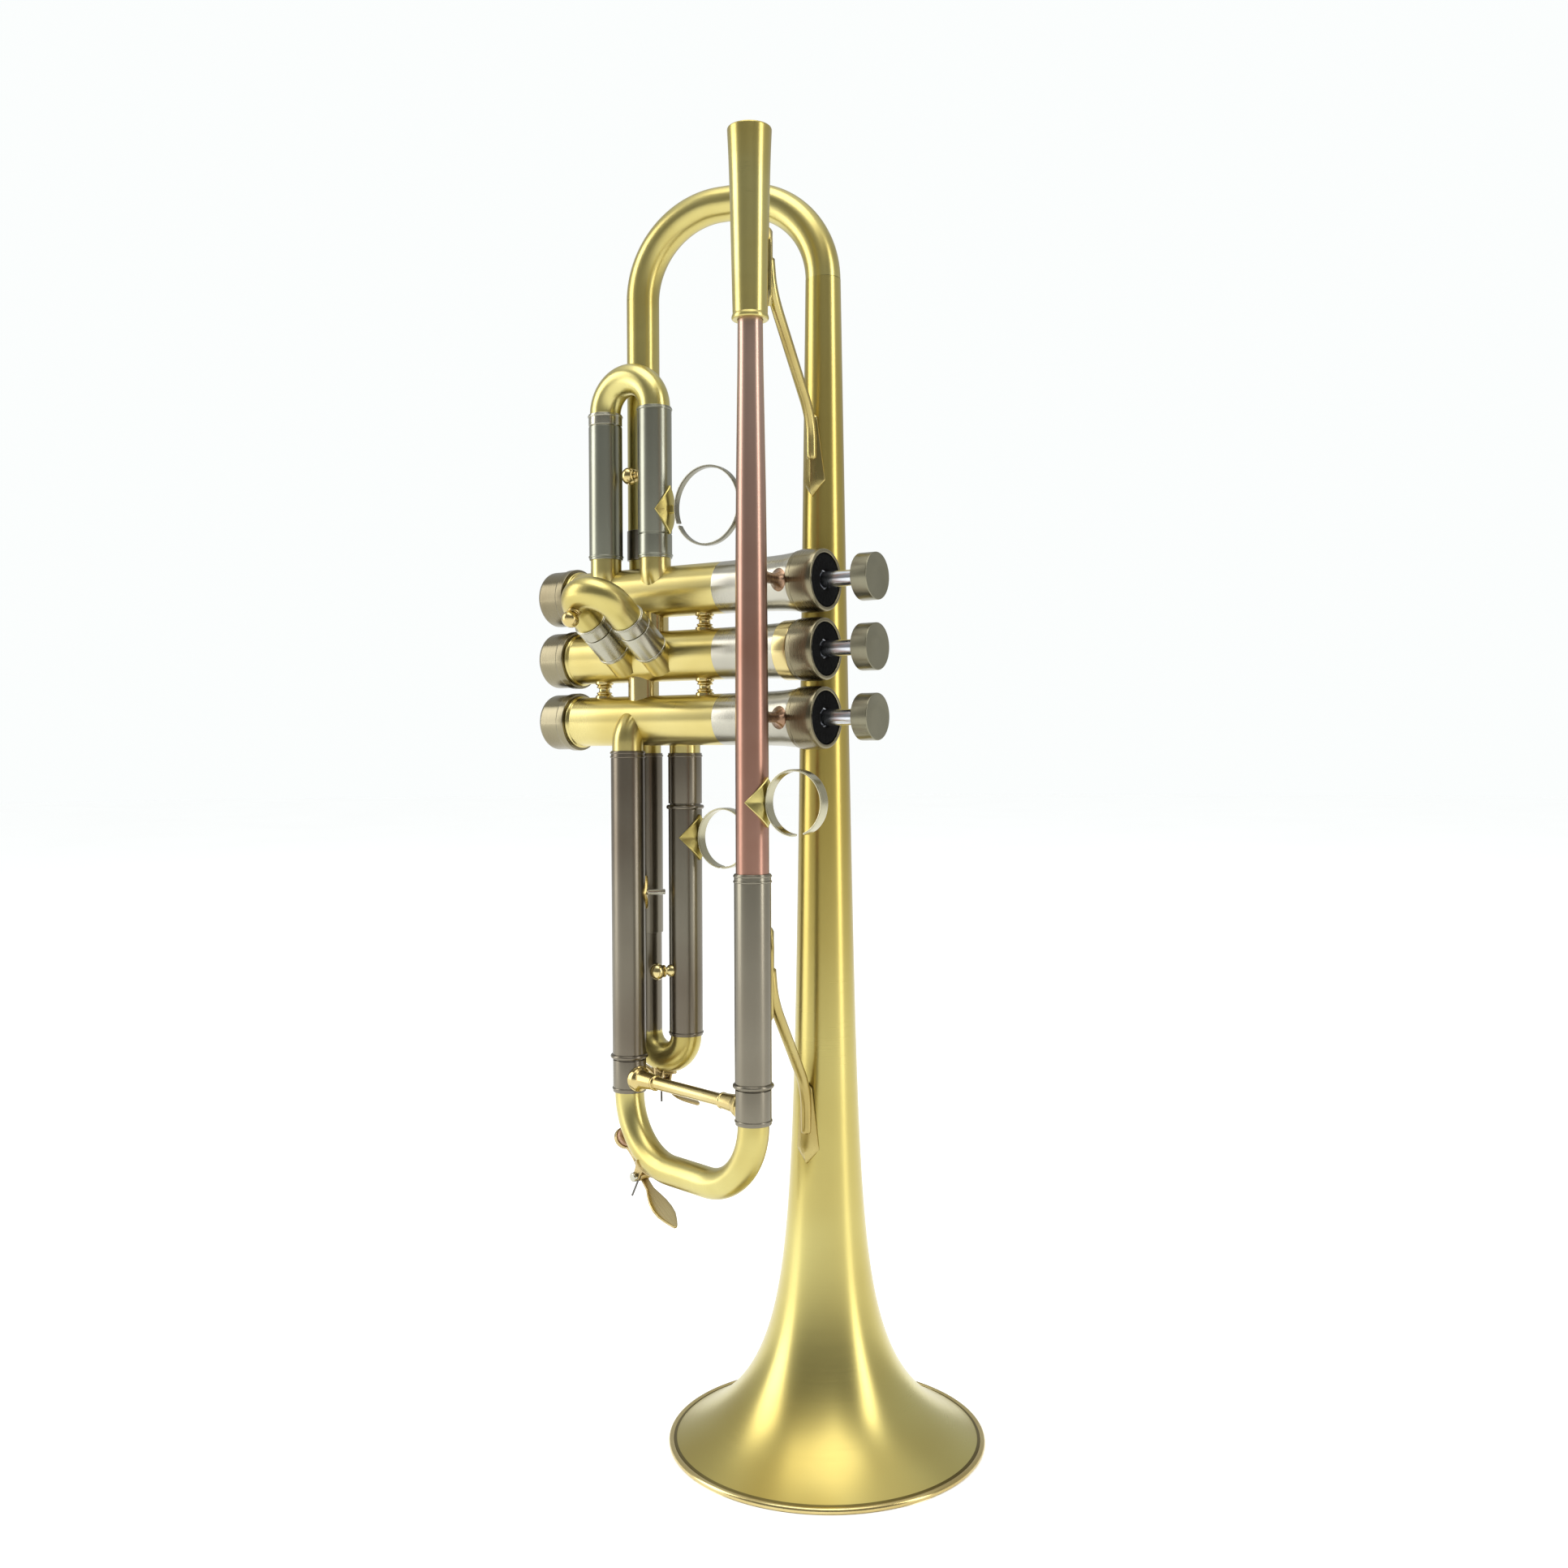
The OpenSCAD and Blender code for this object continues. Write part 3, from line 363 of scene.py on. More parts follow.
def felt_cloth(name):
    """Black wool felt: clumps and hairs of noise raise it and lighten it a little, with sheen."""
    n = Nodes(name)
    place = n.add("ShaderNodeTexCoord").outputs["Object"]
    hair = n.noise(place, (2600, 2600, 2600), 4.0, 0.7)
    clump = n.noise(place, (500, 500, 500), 2.0, 0.5)
    share = n.span(hair, 0.4, 0.75, 0, 1)
    n.put(n.shader.inputs["Base Color"],
          n.blend(share, (0.002, 0.002, 0.002, 1), (0.010, 0.0095, 0.009, 1)))
    n.shader.inputs["Roughness"].default_value = 0.95
    n.shader.inputs["Sheen Weight"].default_value = 0.02
    n.shader.inputs["Specular IOR Level"].default_value = 0.05
    n.emboss(n.math("ADD", hair, clump), 0.9, 0.0004)
    return n.material


def plain(name, light, dark, rough, size):
    """Cork or moulded plastic: grains of noise between two colours, with a fine bump."""
    n = Nodes(name)
    place = n.add("ShaderNodeTexCoord").outputs["Object"]
    grain = n.noise(place, (size, size, size), 3.0, 0.6)
    share = n.span(grain, 0.35, 0.65, 0, 1)
    n.put(n.shader.inputs["Base Color"], n.blend(share, light + (1.0,), dark + (1.0,)))
    n.put(n.shader.inputs["Roughness"], n.span(grain, 0.3, 0.7, rough - 0.05, rough + 0.05))
    n.emboss(grain, 0.3, 0.0001)
    return n.material


BRASS_LIGHT, BRASS_DEEP = (0.58, 0.51, 0.20), (0.47, 0.38, 0.12)
brass = metal("satin_brass", BRASS_LIGHT, BRASS_DEEP, 0.31, scratch=0.08, spread=0.03, bump=0.02)
# painted shade: the bell's stem is painted a darker golden-brown from 8 to 46 cm up, most between
# 24 and 34 cm
bell_brass = metal("satin_bell_brass_painted_shade", (0.58, 0.51, 0.19), (0.45, 0.35, 0.10), 0.30,
                   (20, 20, 3000), scratch=0.05, spread=0.02, bump=0.006, cloud=9.0,
                   painted_shading=((0.08, 0.24), (0.34, 0.46), (0.40, 0.30, 0.075)))
casing_brass = metal("satin_casing_brass", (0.60, 0.51, 0.21), (0.50, 0.40, 0.13), 0.29,
                     scratch=0.05, spread=0.01, bump=0.005)
bright_brass = metal("polished_brass", (0.64, 0.53, 0.25), (0.50, 0.38, 0.15), 0.20, spread=0.03,
                     bump=0.015)
# A dark brass colour for the painted shade in the groove inside the rim's bead.
groove_shade_brass = metal("painted_groove_shade", (0.20, 0.16, 0.055), (0.14, 0.105, 0.03), 0.42)
brace_brass = metal("satin_brace_brass", (0.46, 0.38, 0.15), (0.36, 0.27, 0.09), 0.28,
                    scratch=0.08, spread=0.02, bump=0.01)
key_brass = metal("key_brass", (0.56, 0.46, 0.24), (0.44, 0.33, 0.15), 0.26, ALONG)
nickel = metal("satin_nickel_silver", (0.235, 0.215, 0.165), (0.145, 0.12, 0.09), 0.31,
               scratch=0.08, bump=0.01, cloud=12.0, spread=0.02)
upper_nickel = metal("pale_satin_nickel_silver", (0.34, 0.345, 0.275), (0.25, 0.245, 0.19), 0.31,
                     scratch=0.08, spread=0.02, bump=0.01, cloud=12.0)
ferrule_nickel = metal("satin_ferrule_nickel", (0.46, 0.44, 0.35), (0.36, 0.34, 0.26), 0.25,
                       scratch=0.06, spread=0.02, bump=0.01)
ring_nickel = metal("ring_nickel_silver", (0.50, 0.47, 0.33), (0.38, 0.35, 0.23), 0.20, ALONG)
fine_nickel = metal("polished_nickel_line", (0.58, 0.56, 0.47), (0.46, 0.44, 0.36), 0.18)
thumb_nickel = metal("thumb_ring_nickel", (0.28, 0.27, 0.21), (0.20, 0.185, 0.14), 0.22, ALONG)
baluster_nickel = metal("satin_baluster_nickel", (0.46, 0.44, 0.37), (0.36, 0.34, 0.28), 0.27,
                        scratch=0.05, spread=0.01, bump=0.005)
cap_nickel = metal("antique_cap_nickel", (0.25, 0.22, 0.14), (0.18, 0.15, 0.09), 0.27,
                   scratch=0.06, spread=0.02, bump=0.01)
button_nickel = metal("satin_button_nickel", (0.25, 0.235, 0.165), (0.20, 0.185, 0.125), 0.33,
                      scratch=0.08, bump=0.02)
# painted light: the leadpipe is painted a paler pink from 31 cm up, fully above 40 cm
copper = metal("satin_red_brass_painted_light", (0.36, 0.205, 0.155), (0.28, 0.145, 0.10), 0.33, scratch=0.08,
               spread=0.02, bump=0.02, painted_shading=((0.31, 0.40), (0.6, 0.7), (0.48, 0.34, 0.27)))
steel = metal("polished_steel", (0.70, 0.72, 0.76), (0.56, 0.58, 0.62), 0.2, spread=0.03,
              bump=0.02)
spring_steel = metal("spring_steel", (0.20, 0.19, 0.18), (0.13, 0.12, 0.11), 0.3)
bare_steel = metal("lapped_steel", (0.60, 0.60, 0.58), (0.5, 0.5, 0.48), 0.3, SIDEWAYS,
                   attribute=False)
red_post = metal("red_brass_post", (0.36, 0.23, 0.15), (0.28, 0.165, 0.10), 0.28, scratch=0.1)
felt = felt_cloth("black_felt")
cork = plain("cork", (0.60, 0.38, 0.24), (0.36, 0.20, 0.12), 0.75, 900.0)
ivory = plain("ivory_plastic", (0.82, 0.80, 0.72), (0.76, 0.73, 0.64), 0.4, 400.0)


# ---------- Bell, bow and tail ----------
def bell_radius(z):
    """Outer radius of the bell: 6.7 + 0.0152 (b - z) + k (1 + z / 93)^-4.23, with b the bow's
    height and k such that it ends on the rim."""
    stem, slope = 6.7, 0.0152
    k = BELL_R - 0.9 - stem - slope * BOW_Z
    return stem + slope * (BOW_Z - z) + k * (1 + z / 93) ** -4.23


def bell_shell():
    """The spun sheet: the outer line down to the rim, a small curl out to the wire, and the
    inner line back up 0.7 mm inside."""
    t = np.linspace(1, 0, 150) ** 2.2
    z = 1.25 + t * (BOW_Z - 1.25)
    outer = np.stack([z, bell_radius(z - 1.25)], -1)
    inner = np.stack([z, bell_radius(z - 1.25) - 0.7], -1)[::-1]
    inner[0] = [0.62, BELL_R - 2.3]
    return turned(np.concatenate([outer, inner]), (0, 0, 0), Z, 224)


def rim_roll():
    """The rolled rim: a round bead of 1.2 mm radius, flattened where it stands."""
    a = np.radians(np.linspace(-62, 242, 30))
    z, r = 1.15 + 1.2 * np.sin(a), BELL_R - 1.2 + 1.2 * np.cos(a)
    profile = np.concatenate([np.stack([z, r], -1), [(0.0, BELL_R - 1.8), (0.0, BELL_R - 0.6)]])
    return turned(profile, (0, 0, 0), Z, 224)


def rim_groove_shade():
    """A painted shade line in the groove inside the bead: a thin dark ring 0.9 mm wide that lies
    on the sheet.
    """
    p = [(2.0, BELL_R - 3.1), (2.40, BELL_R - 3.0), (2.0, BELL_R - 2.1), (1.6, BELL_R - 2.1)]
    return turned(p, (0, 0, 0), Z, 224)


def between(a, b):
    """Middle of two upright pipes, the unit step from a to b, and half their distance."""
    half = np.linalg.norm(b - a) / 2
    return (a + b) / 2, unit(b - a), half


def square_bow(a, b, z, corner, way, lead_in=0.0):
    """Path of a bow: two quarter turns of the corner radius and the straight between them,
    going up (way 1) or down (way -1), with an upright stretch at each end."""
    mid, u, half = between(a, b)
    mid = mid + z * Z
    flat = (half - corner) * u
    path = join(arc(mid - flat, u, way * Z, corner, 180, 90, 30),
                line(mid - flat + way * corner * Z, mid + flat + way * corner * Z, 5),
                arc(mid + flat, u, way * Z, corner, 90, 0, 30))
    if lead_in:
        path = join(line(path[0] - way * lead_in * Z, path[0], 4), path,
                    line(path[-1], path[-1] - way * lead_in * Z, 4))
    return path, np.cross(u, Z)


def u_turn(a, b, z, way, lead_in=0.0):
    """Path of a small bow: one half turn between two upright pipes."""
    mid, u, half = between(a, b)
    path = arc(mid + z * Z, u, way * Z, half, 180, 0, 56)
    if lead_in:
        path = join(line(path[0] - way * lead_in * Z, path[0], 3), path,
                    line(path[-1], path[-1] - way * lead_in * Z, 3))
    return path, np.cross(u, Z)


def seated(grid, i):
    """The grid with each point inside casing i moved straight out from its axis to the radius
    WALL_R, so that a pipe ends as a saddle in the casing's wall and leaves the bore free."""
    points, grain, closed = grid
    axis = np.array([VALVE_Y, VALVE_Z[i]])
    away = points[..., 1:] - axis
    near = np.linalg.norm(away, axis=-1, keepdims=True)
    points = points.copy()
    points[..., 1:] = axis + away * np.maximum(WALL_R / np.maximum(near, 0.01), 1.0)
    return points, grain, closed


ORIGIN = np.zeros(3)
bow_path, bow_side = square_bow(ORIGIN, TAIL, BOW_Z, BOW_CORNER, 1)
bow_r = np.linspace(6.7, 6.5, len(bow_path))
piece("bell_spout", [bell_shell()], bell_brass, "horn", "bell_brass", "bell")
piece("bell_rim", [rim_roll()], bright_brass, "horn", "bell_brass", "bell_rim_wire")
# painted shade: a dark ring in the groove between the rim's bead and the sheet
piece("rim_groove_shade", [rim_groove_shade()], groove_shade_brass, "horn", "bell_brass", "bell_rim_wire")
piece("bell_bow_tube", [pipe(bow_path, bow_side, bow_r, 0.7, 72)], brass, "horn", "bell_brass",
      "bell_bow")
tail_bend_at = TAIL + (VALVE_Z[0] + KNUCKLE_RISE) * Z
tail_bend = join(line(TAIL + 350 * Z, tail_bend_at, 4),
                 arc(tail_bend_at - 7 * Y, Y, -Z, 7, 0, 75, 40))
piece("tail_tube", [pipe(line(TAIL + BOW_Z * Z, TAIL + 355 * Z, 6), X, 6.5, 0.6),
                    seated(pipe(tail_bend, X, LEG_R, 0.5), 0)], brass, "horn", "bell_brass",
      "bell_tail")
piece("tail_ferrule", [band(TAIL, 344, 356, 6.85, 5.8, 0.3, 5, columns=96)], nickel, "horn",
      "nickel_silver", "bell_tail")


# ---------- Leadpipe and its sleeves ----------
def receiver():
    """Turned receiver: a straight taper from 6.3 to 8 mm, a small lip at its lower end, a
    rounded mouth, and the shank's bore inside."""
    end, top = 420.4, 488
    p = [(end, 4.6), (end, 6.5), (end + 0.8, 6.72), (end + 1.6, 6.5), (end + 2.1, 6.26),
         (end + 28, 6.76), (end + 56, 7.42), (top, 8.0), (top, 5.6), (top - 26, 5.25),
         (top - 26, 4.6)]
    r = [0.2, 0.4, 0.4, 0.3, 0.2, 12, 12, 0.9, 0.9, 0.1, 0.1]
    return turned(softened(p, r, 8), LEAD, Z, 96)


def leadpipe_tube():
    """The leadpipe's outer line narrows from 6 to 4.5 mm; its wall is 0.5 mm."""
    line_r = np.array([(223, 6.0), (275, 5.95), (332, 5.65), (361, 5.35), (406, 4.62), (421, 4.5)])
    z = np.linspace(223, 421, 60)
    r = np.interp(z, line_r[:, 0], line_r[:, 1])
    outer = np.stack([z, r], -1)
    return turned(np.concatenate([outer, (outer - [0, 0.5])[::-1]]), LEAD, Z, 72)


def sleeve(at, z0, z1, r=SLEEVE_R, bore=SLEEVE_BORE, fine=(), ring=None):
    """A sleeve with softened ends, fine raised lines at the heights in fine, and one round
    bead at ring."""
    grids = [band(at, z0, z1, r, bore)]
    grids += [band(at, z - 0.4, z + 0.4, r + 0.3, r - 0.2, 0.35, 5) for z in fine]
    if ring is not None:
        a = wrap_angles(20)
        grids.append(turned(np.stack([ring + 0.85 * np.cos(a), r + 0.1 + 0.72 * np.sin(a)], -1),
                            at, Z, 72))
    return grids


piece("receiver_cone", [receiver()], brass, "horn", "bell_brass", "mouthpiece_receiver")
piece("leadpipe_tube", [leadpipe_tube()], copper, "horn", "copper", "leadpipe")
for name, at, top, fine, node in (
        ("upper_outer_sleeve", LEAD, 223.4, (222.6, 220.6), "leadpipe_sleeve"),
        ("lower_outer_sleeve", LOWER, 267.6, (266.8, 265.2), "lower_sleeve")):
    piece(name, sleeve(at, SLEEVE_Z, top, fine=fine, ring=SLEEVE_Z + 0.95), nickel, "horn",
          "nickel_silver", node)


# ---------- Valves ----------
def valve(i):
    """Where the axis of valve i crosses x = 0."""
    return np.array([0, VALVE_Y, VALVE_Z[i]])


def casing():
    """The casing tube with a wider foot ring and a fine step behind it."""
    p = [(-102.6, 8.45), (-102.6, 10.6), (-101.4, 10.6), (-100.9, 9.9), (-29.7, 9.9),
         (-29.7, 8.45)]
    return softened(p, [0.1, 0.4, 0.4, 0.3, 0.05, 0.05], 6)


def baluster():
    """The nickel top of a casing: level, then swelling a little towards the cap."""
    p = [(-29.7, 8.45), (-29.7, 9.92), (-15.7, 9.98), (-2.3, 10.4), (3.1, 10.95), (4.68, 11.0),
         (4.68, 10.3), (10.6, 10.3), (10.6, 8.45)]
    return softened(p, [0.05, 0.05, 6, 4, 0.8, 0.3, 0.1, 0.1, 0.1], 6)


def top_cap():
    """The top cap: a straight skirt with a fine step, a large rounded shoulder, and the lip
    round the felt's recess."""
    p = [(4.7, 10.32), (4.7, 11.45), (6.2, 11.5), (6.5, 11.75), (15.5, 11.75), (15.5, 9.95),
         (12.0, 9.9), (12.0, 3.1), (10.6, 3.1), (10.6, 10.32)]
    return softened(p, [0.1, 0.3, 0.15, 0.2, 2.9, 0.35, 0.2, 0.1, 0.1, 0.1], 9)


def bottom_cap():
    """The bottom cap: a rim band, a step, and a domed end with a drain hole."""
    p = [(-102.65, 9.2), (-102.65, 11.7), (-106.0, 11.7), (-106.5, 11.2), (-115.2, 11.2),
         (-116.8, 9.2), (-116.8, 1.6), (-115.6, 1.6), (-115.2, 9.2)]
    return softened(p, [0.1, 0.4, 0.3, 0.3, 1.2, 1.4, 0.3, 0.1, 0.3], 8)


def felt_ring(i):
    """A felt washer whose surface wanders by sums of sines of the angle, a tenth to a third of
    a millimetre, more at its outer edge."""
    profile = softened([(12.02, 3.6), (12.02, 9.84), (15.2, 9.84), (15.2, 3.6)], 0.8, 10)
    points, grain, closed = turned(profile, valve(i), X, 180)
    a = wrap_angles(180)[None, :]
    t, r = profile[:, :1], profile[:, 1:]
    wave = (np.sin(23 * a + 3 * t + i) + 0.8 * np.sin(41 * a - 2 * r + 2 * i)
            + 0.6 * np.sin(67 * a + 5 * r))
    wave = wave * 0.07 * np.clip((r - 3.4) / 3, 0, 1) * (t > 12.5)
    out = unit(points - valve(i) - X * (points - valve(i))[..., :1])
    points = points + np.minimum(wave, 0.1)[..., None] * (-out)
    points[..., 0] += np.minimum(0.5 * wave, 0.1)
    return points, grain, closed


def button():
    """A finger button: a disc with narrow softened edges and a face that dips by 0.15 mm."""
    x = 30.5
    p = [(x, 0.0), (x, 8.6), (x + 6.6, 8.6), (x + 6.6, 7.8), (x + 6.45, 0.0)]
    return softened(p, [0, 0.35, 0.3, 0.6, 0], 8, closed=False)


def spring_coil(i):
    """A coil of 9 turns round the valve's axis, radius 4.75 mm, closed at both ends."""
    t = np.linspace(0, 1, 400)[:, None]
    path = valve(i) + (-27.6 + 33.5 * t) * X \
        + 4.75 * (np.cos(9 * TURN * t) * Y + np.sin(9 * TURN * t) * Z)
    return capped(path, X, round_section(10) * 0.42, 0.2)


piece("casing_tubes", [turned(casing(), valve(i), X, 96) for i in range(3)], casing_brass, "horn",
      "bell_brass", "valve_casings")
piece("casing_tops", [turned(baluster(), valve(i), X, 96) for i in range(3)],
      baluster_nickel, "horn", "pale_nickel", "valve_balusters")
thread = softened([(-1.6, 10.4), (-1.6, 11.15), (4.4, 11.2), (4.4, 10.4)], 0.3)
piece("thread_band", [turned(thread, valve(1), X, 96)], bright_brass, "horn", "bell_brass",
      "valve_balusters")
piece("valve_top_caps", [turned(top_cap(), valve(i), X, 112) for i in range(3)],
      cap_nickel, "horn", "cap_nickel", "top_caps")
piece("valve_bottom_caps", [turned(bottom_cap(), valve(i), X, 112) for i in range(3)], cap_nickel,
      "horn", "cap_nickel", "bottom_caps")
piece("felt_washers", [felt_ring(i) for i in range(3)], felt, "horn", "felt", "cap_felts")
piece("stem_hole_rims", [band(valve(i), 11.9, 14.1, 4.0, 3.2, 0.25, 5, X, 64) for i in range(3)],
      steel, "horn", "cap_nickel", "top_caps")
stem = softened([(8.0, 0.0), (8.0, 2.95), (29.3, 2.95), (29.3, 0.0)], [0, 0.2, 0.2, 0], 5, False)
screw = softened([(29.2, 0.0), (29.2, 1.6), (33.9, 1.6), (33.9, 0.0)], [0, 0.1, 0.1, 0], 4, False)
for i in range(3):
    number, body = i + 1, f"valve_{i + 1}"
    piece(f"stem_rod_{number}", [turned(stem, valve(i), X, 64, False),
                                 turned(screw, valve(i), X, 48, False)],
          steel, body, "steel", f"stem_{number}")
    piece(f"button_{number}", [turned(button(), valve(i), X, 96, False)], button_nickel, body,
          "cap_nickel", f"finger_button_{number}")
    piece(f"spring_coil_{number}", [spring_coil(i)], steel, body, "steel",
          f"valve_spring_{number}")


# ---------- Knuckles, crossovers and braces of the casings ----------
def knuckle(at, z_end, z_bend, bend, way):
    """A leg from its sleeve to the bend, then a quarter turn of radius bend into the casing.
    way is (across, up): the side the bend turns to, and the way the leg runs."""
    across, up = way
    centre = at + across * bend * Y + z_bend * Z
    return join(line(at + z_end * Z, at + z_bend * Z, 4),
                arc(centre, -across * Y, up * Z, bend, 0, 72, 40))


first_knuckles = [knuckle(FIRST[k], 344.5, VALVE_Z[0] + KNUCKLE_RISE, 8, (1, -1)) for k in (0, 1)]
third_knuckles = [knuckle(THIRD[k], 265.5, VALVE_Z[2] - KNUCKLE_RISE, 7, (-1, 1)) for k in (0, 1)]
piece("first_knuckle_tubes", [seated(pipe(p, X, LEG_R, 0.5), 0) for p in first_knuckles],
      casing_brass, "horn", "bell_brass", "first_valve_knuckles")
third_knuckles.append(knuckle(LOWER, 266.5, VALVE_Z[2] - KNUCKLE_RISE, 9, (1, 1)))
piece("third_knuckle_tubes", [seated(pipe(p, X, LEG_R, 0.5), 2) for p in third_knuckles],
      casing_brass, "horn", "bell_brass", "third_valve_knuckles")
crossovers = [pipe(line(valve(i) + (x, 0, -6), valve(i + 1) + (x, 0, 6), 30), Y, LEG_R, 0.4)
              for i, x in ((0, -65), (1, -70))]
piece("crossover_pipes", [seated(seated(pipes, i), i + 1) for i, pipes in enumerate(crossovers)],
      bright_brass, "horn", "bell_brass", "crossover_tubes")


def spool():
    """A turned brace: wide feet, a collar each side and a slim waist."""
    half = [(-6, 3.6), (-2.3, 3.6), (-1.7, 2.6), (-1.5, 3.1), (-1.0, 3.1), (-0.7, 2.2)]
    p = half + [(-t, r) for t, r in half[::-1]]
    return softened([(-6, 0)] + p + [(6, 0)], [0] + [0.3] * len(p) + [0], 5, False)


spools = [turned(spool(), (valve(k) + valve(k + 1)) / 2 + (x, 0, 0), Z, 56, False)
          for x, k in ((-39.8, 0), (-39.8, 1), (-90.2, 1))]
piece("spool_braces", spools, bright_brass, "horn", "trim_brass", "casing_braces")


# ---------- Second slide, tilted out from casing 2 ----------
SECOND_TILT = np.radians(36.2)
SECOND_OUT = np.array([0, -np.cos(SECOND_TILT), np.sin(SECOND_TILT)])
SECOND_X = (-74.0, -56.0)
SECOND_STUB, SECOND_SLEEVE, SECOND_FERRULE, SECOND_STRAIGHT = 3.0, 13.0, 6.0, 6.0


def second(x, s):
    """Point a distance s out along the second slide's leg at x."""
    return np.array([x, -33.7, VALVE_Z[1]]) + s * SECOND_OUT


second_end = SECOND_STUB + SECOND_SLEEVE
bow_start = second_end + SECOND_FERRULE
stubs = [pipe(line(second(x, -6), second(x, SECOND_STUB + 1), 4), X, LEG_R, 0.5)
         for x in SECOND_X]
piece("second_knuckle_tubes", stubs, casing_brass, "horn", "bell_brass", "second_valve_knuckles")


def leg_bands(s0, s1, r, bore):
    """A band round each leg of the second slide."""
    return [band(second(x, 0), s0, s1, r, bore, axis=SECOND_OUT, columns=64) for x in SECOND_X]


piece("second_outer_sleeves", leg_bands(SECOND_STUB, second_end, SLEEVE_R, SLEEVE_BORE) +
      leg_bands(SECOND_STUB + 0.9, SECOND_STUB + 1.5, SLEEVE_R + 0.2, 6.4),
      ferrule_nickel, "horn", "nickel_silver", "second_slide_sleeves")
piece("second_ferrules", leg_bands(second_end + 0.35, bow_start, SLEEVE_R, BORE_R) +
      leg_bands(SECOND_STUB + 0.5, second_end + 0.5, LEG_R, BORE_R) +
      leg_bands(bow_start - 1.1, bow_start - 0.5, SLEEVE_R + 0.2, 6.4),
      ferrule_nickel, "second_slide", "nickel_silver", "second_legs")
second_mid = second(-65, bow_start + SECOND_STRAIGHT)
second_path = join(line(second(-74, bow_start - 1), second(-74, bow_start + SECOND_STRAIGHT), 4),
                   arc(second_mid, X, SECOND_OUT, 9, 180, 0, 48),
                   line(second(-56, bow_start + SECOND_STRAIGHT), second(-56, bow_start - 1), 4))
second_side = np.cross(X, SECOND_OUT)
piece("second_bow_tube", [pipe(second_path, second_side, LEG_R, 0.4)], brass, "second_slide",
      "bell_brass", "second_bow")


def knob(reach, r):
    """A turned pull knob: a flared foot, a slim neck with a collar, and a round head with a
    small flat end."""
    a = np.radians(np.linspace(-62, 78, 16))
    head = np.stack([reach - 2.9 + 2.9 * np.sin(a), 3.4 * np.cos(a)], -1)
    p = [(r - 1.2, 0), (r - 1.2, 2.8), (r + 0.5, 2.5), (r + 1.3, 1.6), (reach - 6.2, 1.5),
         (reach - 6.0, 2.5), (reach - 5.4, 2.5), (reach - 5.2, 1.7)]
    return np.concatenate([softened(p, [0, 0.3, 1, 1, 0.3, 0.2, 0.2, 0.2], 5, False), head,
                           [(reach, 0.0)]])


second_knob_at = second(-70.8, bow_start + SECOND_STRAIGHT + 5.4)
piece("second_pull_knob", [turned(knob(12.4, 5.4), second_knob_at, second_side, 56, False)],
      bright_brass, "second_slide", "trim_brass", "second_knob")


# ---------- First slide ----------
FIRST_BOW_Z = 401.4
piece("first_outer_tubes", sleeve(FIRST[0], 343.6, 396.4, fine=(344.9,)) +
      sleeve(FIRST[1], 342.6, 351.8, bore=BORE_R, fine=(343.8,)) +
      sleeve(FIRST[1], 351.8, 398, LEG_R, BORE_R), upper_nickel, "horn", "nickel_silver",
      "first_slide_fixed_tubes")
piece("first_ferrule", sleeve(FIRST[0], 396.8, FIRST_BOW_Z, bore=BORE_R, fine=(400.5,)) +
      sleeve(FIRST[0], 350, 396.9, LEG_R, BORE_R), ferrule_nickel, "first_slide", "nickel_silver",
      "first_inner_leg")
piece("first_moving_sleeve", sleeve(FIRST[1], 352.2, FIRST_BOW_Z, fine=(400.5,)), upper_nickel,
      "first_slide", "nickel_silver", "first_outer_sleeve")
first_path, first_side = u_turn(FIRST[0], FIRST[1], FIRST_BOW_Z, 1, 0.8)
piece("first_bow_tube", [pipe(first_path, first_side, LEG_R, 0.4, 64)], brass, "first_slide",
      "bell_brass", "first_bow")
piece("first_pull_knob", [turned(knob(15.6, SLEEVE_R), FIRST[1] + 376 * Z, -X, 56, False)],
      bright_brass, "first_slide", "trim_brass", "first_knob")

DIAMOND = np.array([(1.0, 0.0), (0.0, 1.0), (-1.0, 0.0), (0.0, -1.0)])


def diamond_plate(at, z, r, azimuth, half_w, half_h):
    """A diamond plate 1.05 mm thick with a narrow bevel, bent round a tube."""
    rise = np.array([1.07, 1.07, 1.05, 0.75])
    return wrapped(outline(DIAMOND * (half_w, half_h)), at, z, r, azimuth, rise,
                   np.array([0, 0.5, 0.955, 1.0]))


def band_ring(centre, r, wide, thick, start, end):
    """A strip of metal bent to a ring about the Y direction from the start to the end angle."""
    path = arc(centre, X, Z, r - thick / 2, start, end, 120)
    return capped(path, Y, flat_section(thick, wide), 0.3)


thumb_x = FIRST[1][0] + SLEEVE_R + 0.55 + 3.2 - 0.3 + 15.3
piece("thumb_band", [band_ring([thumb_x, FIRST[1][1], 361], 15.3, 2.6, 0.9, -153, 203)],
      thumb_nickel, "first_slide", "pale_nickel", "thumb_ring")
thumb_neck = capped(line([-52.6, -29, 361], [thumb_x - 14.9, -29, 361], 5), Y,
                    flat_section(3.2, 1.9), 0.2)
piece("thumb_plate", [diamond_plate(FIRST[1], 361, SLEEVE_R, 0, 6.2, 9.4), thumb_neck], brass,
      "first_slide", "trim_brass", "thumb_ring")

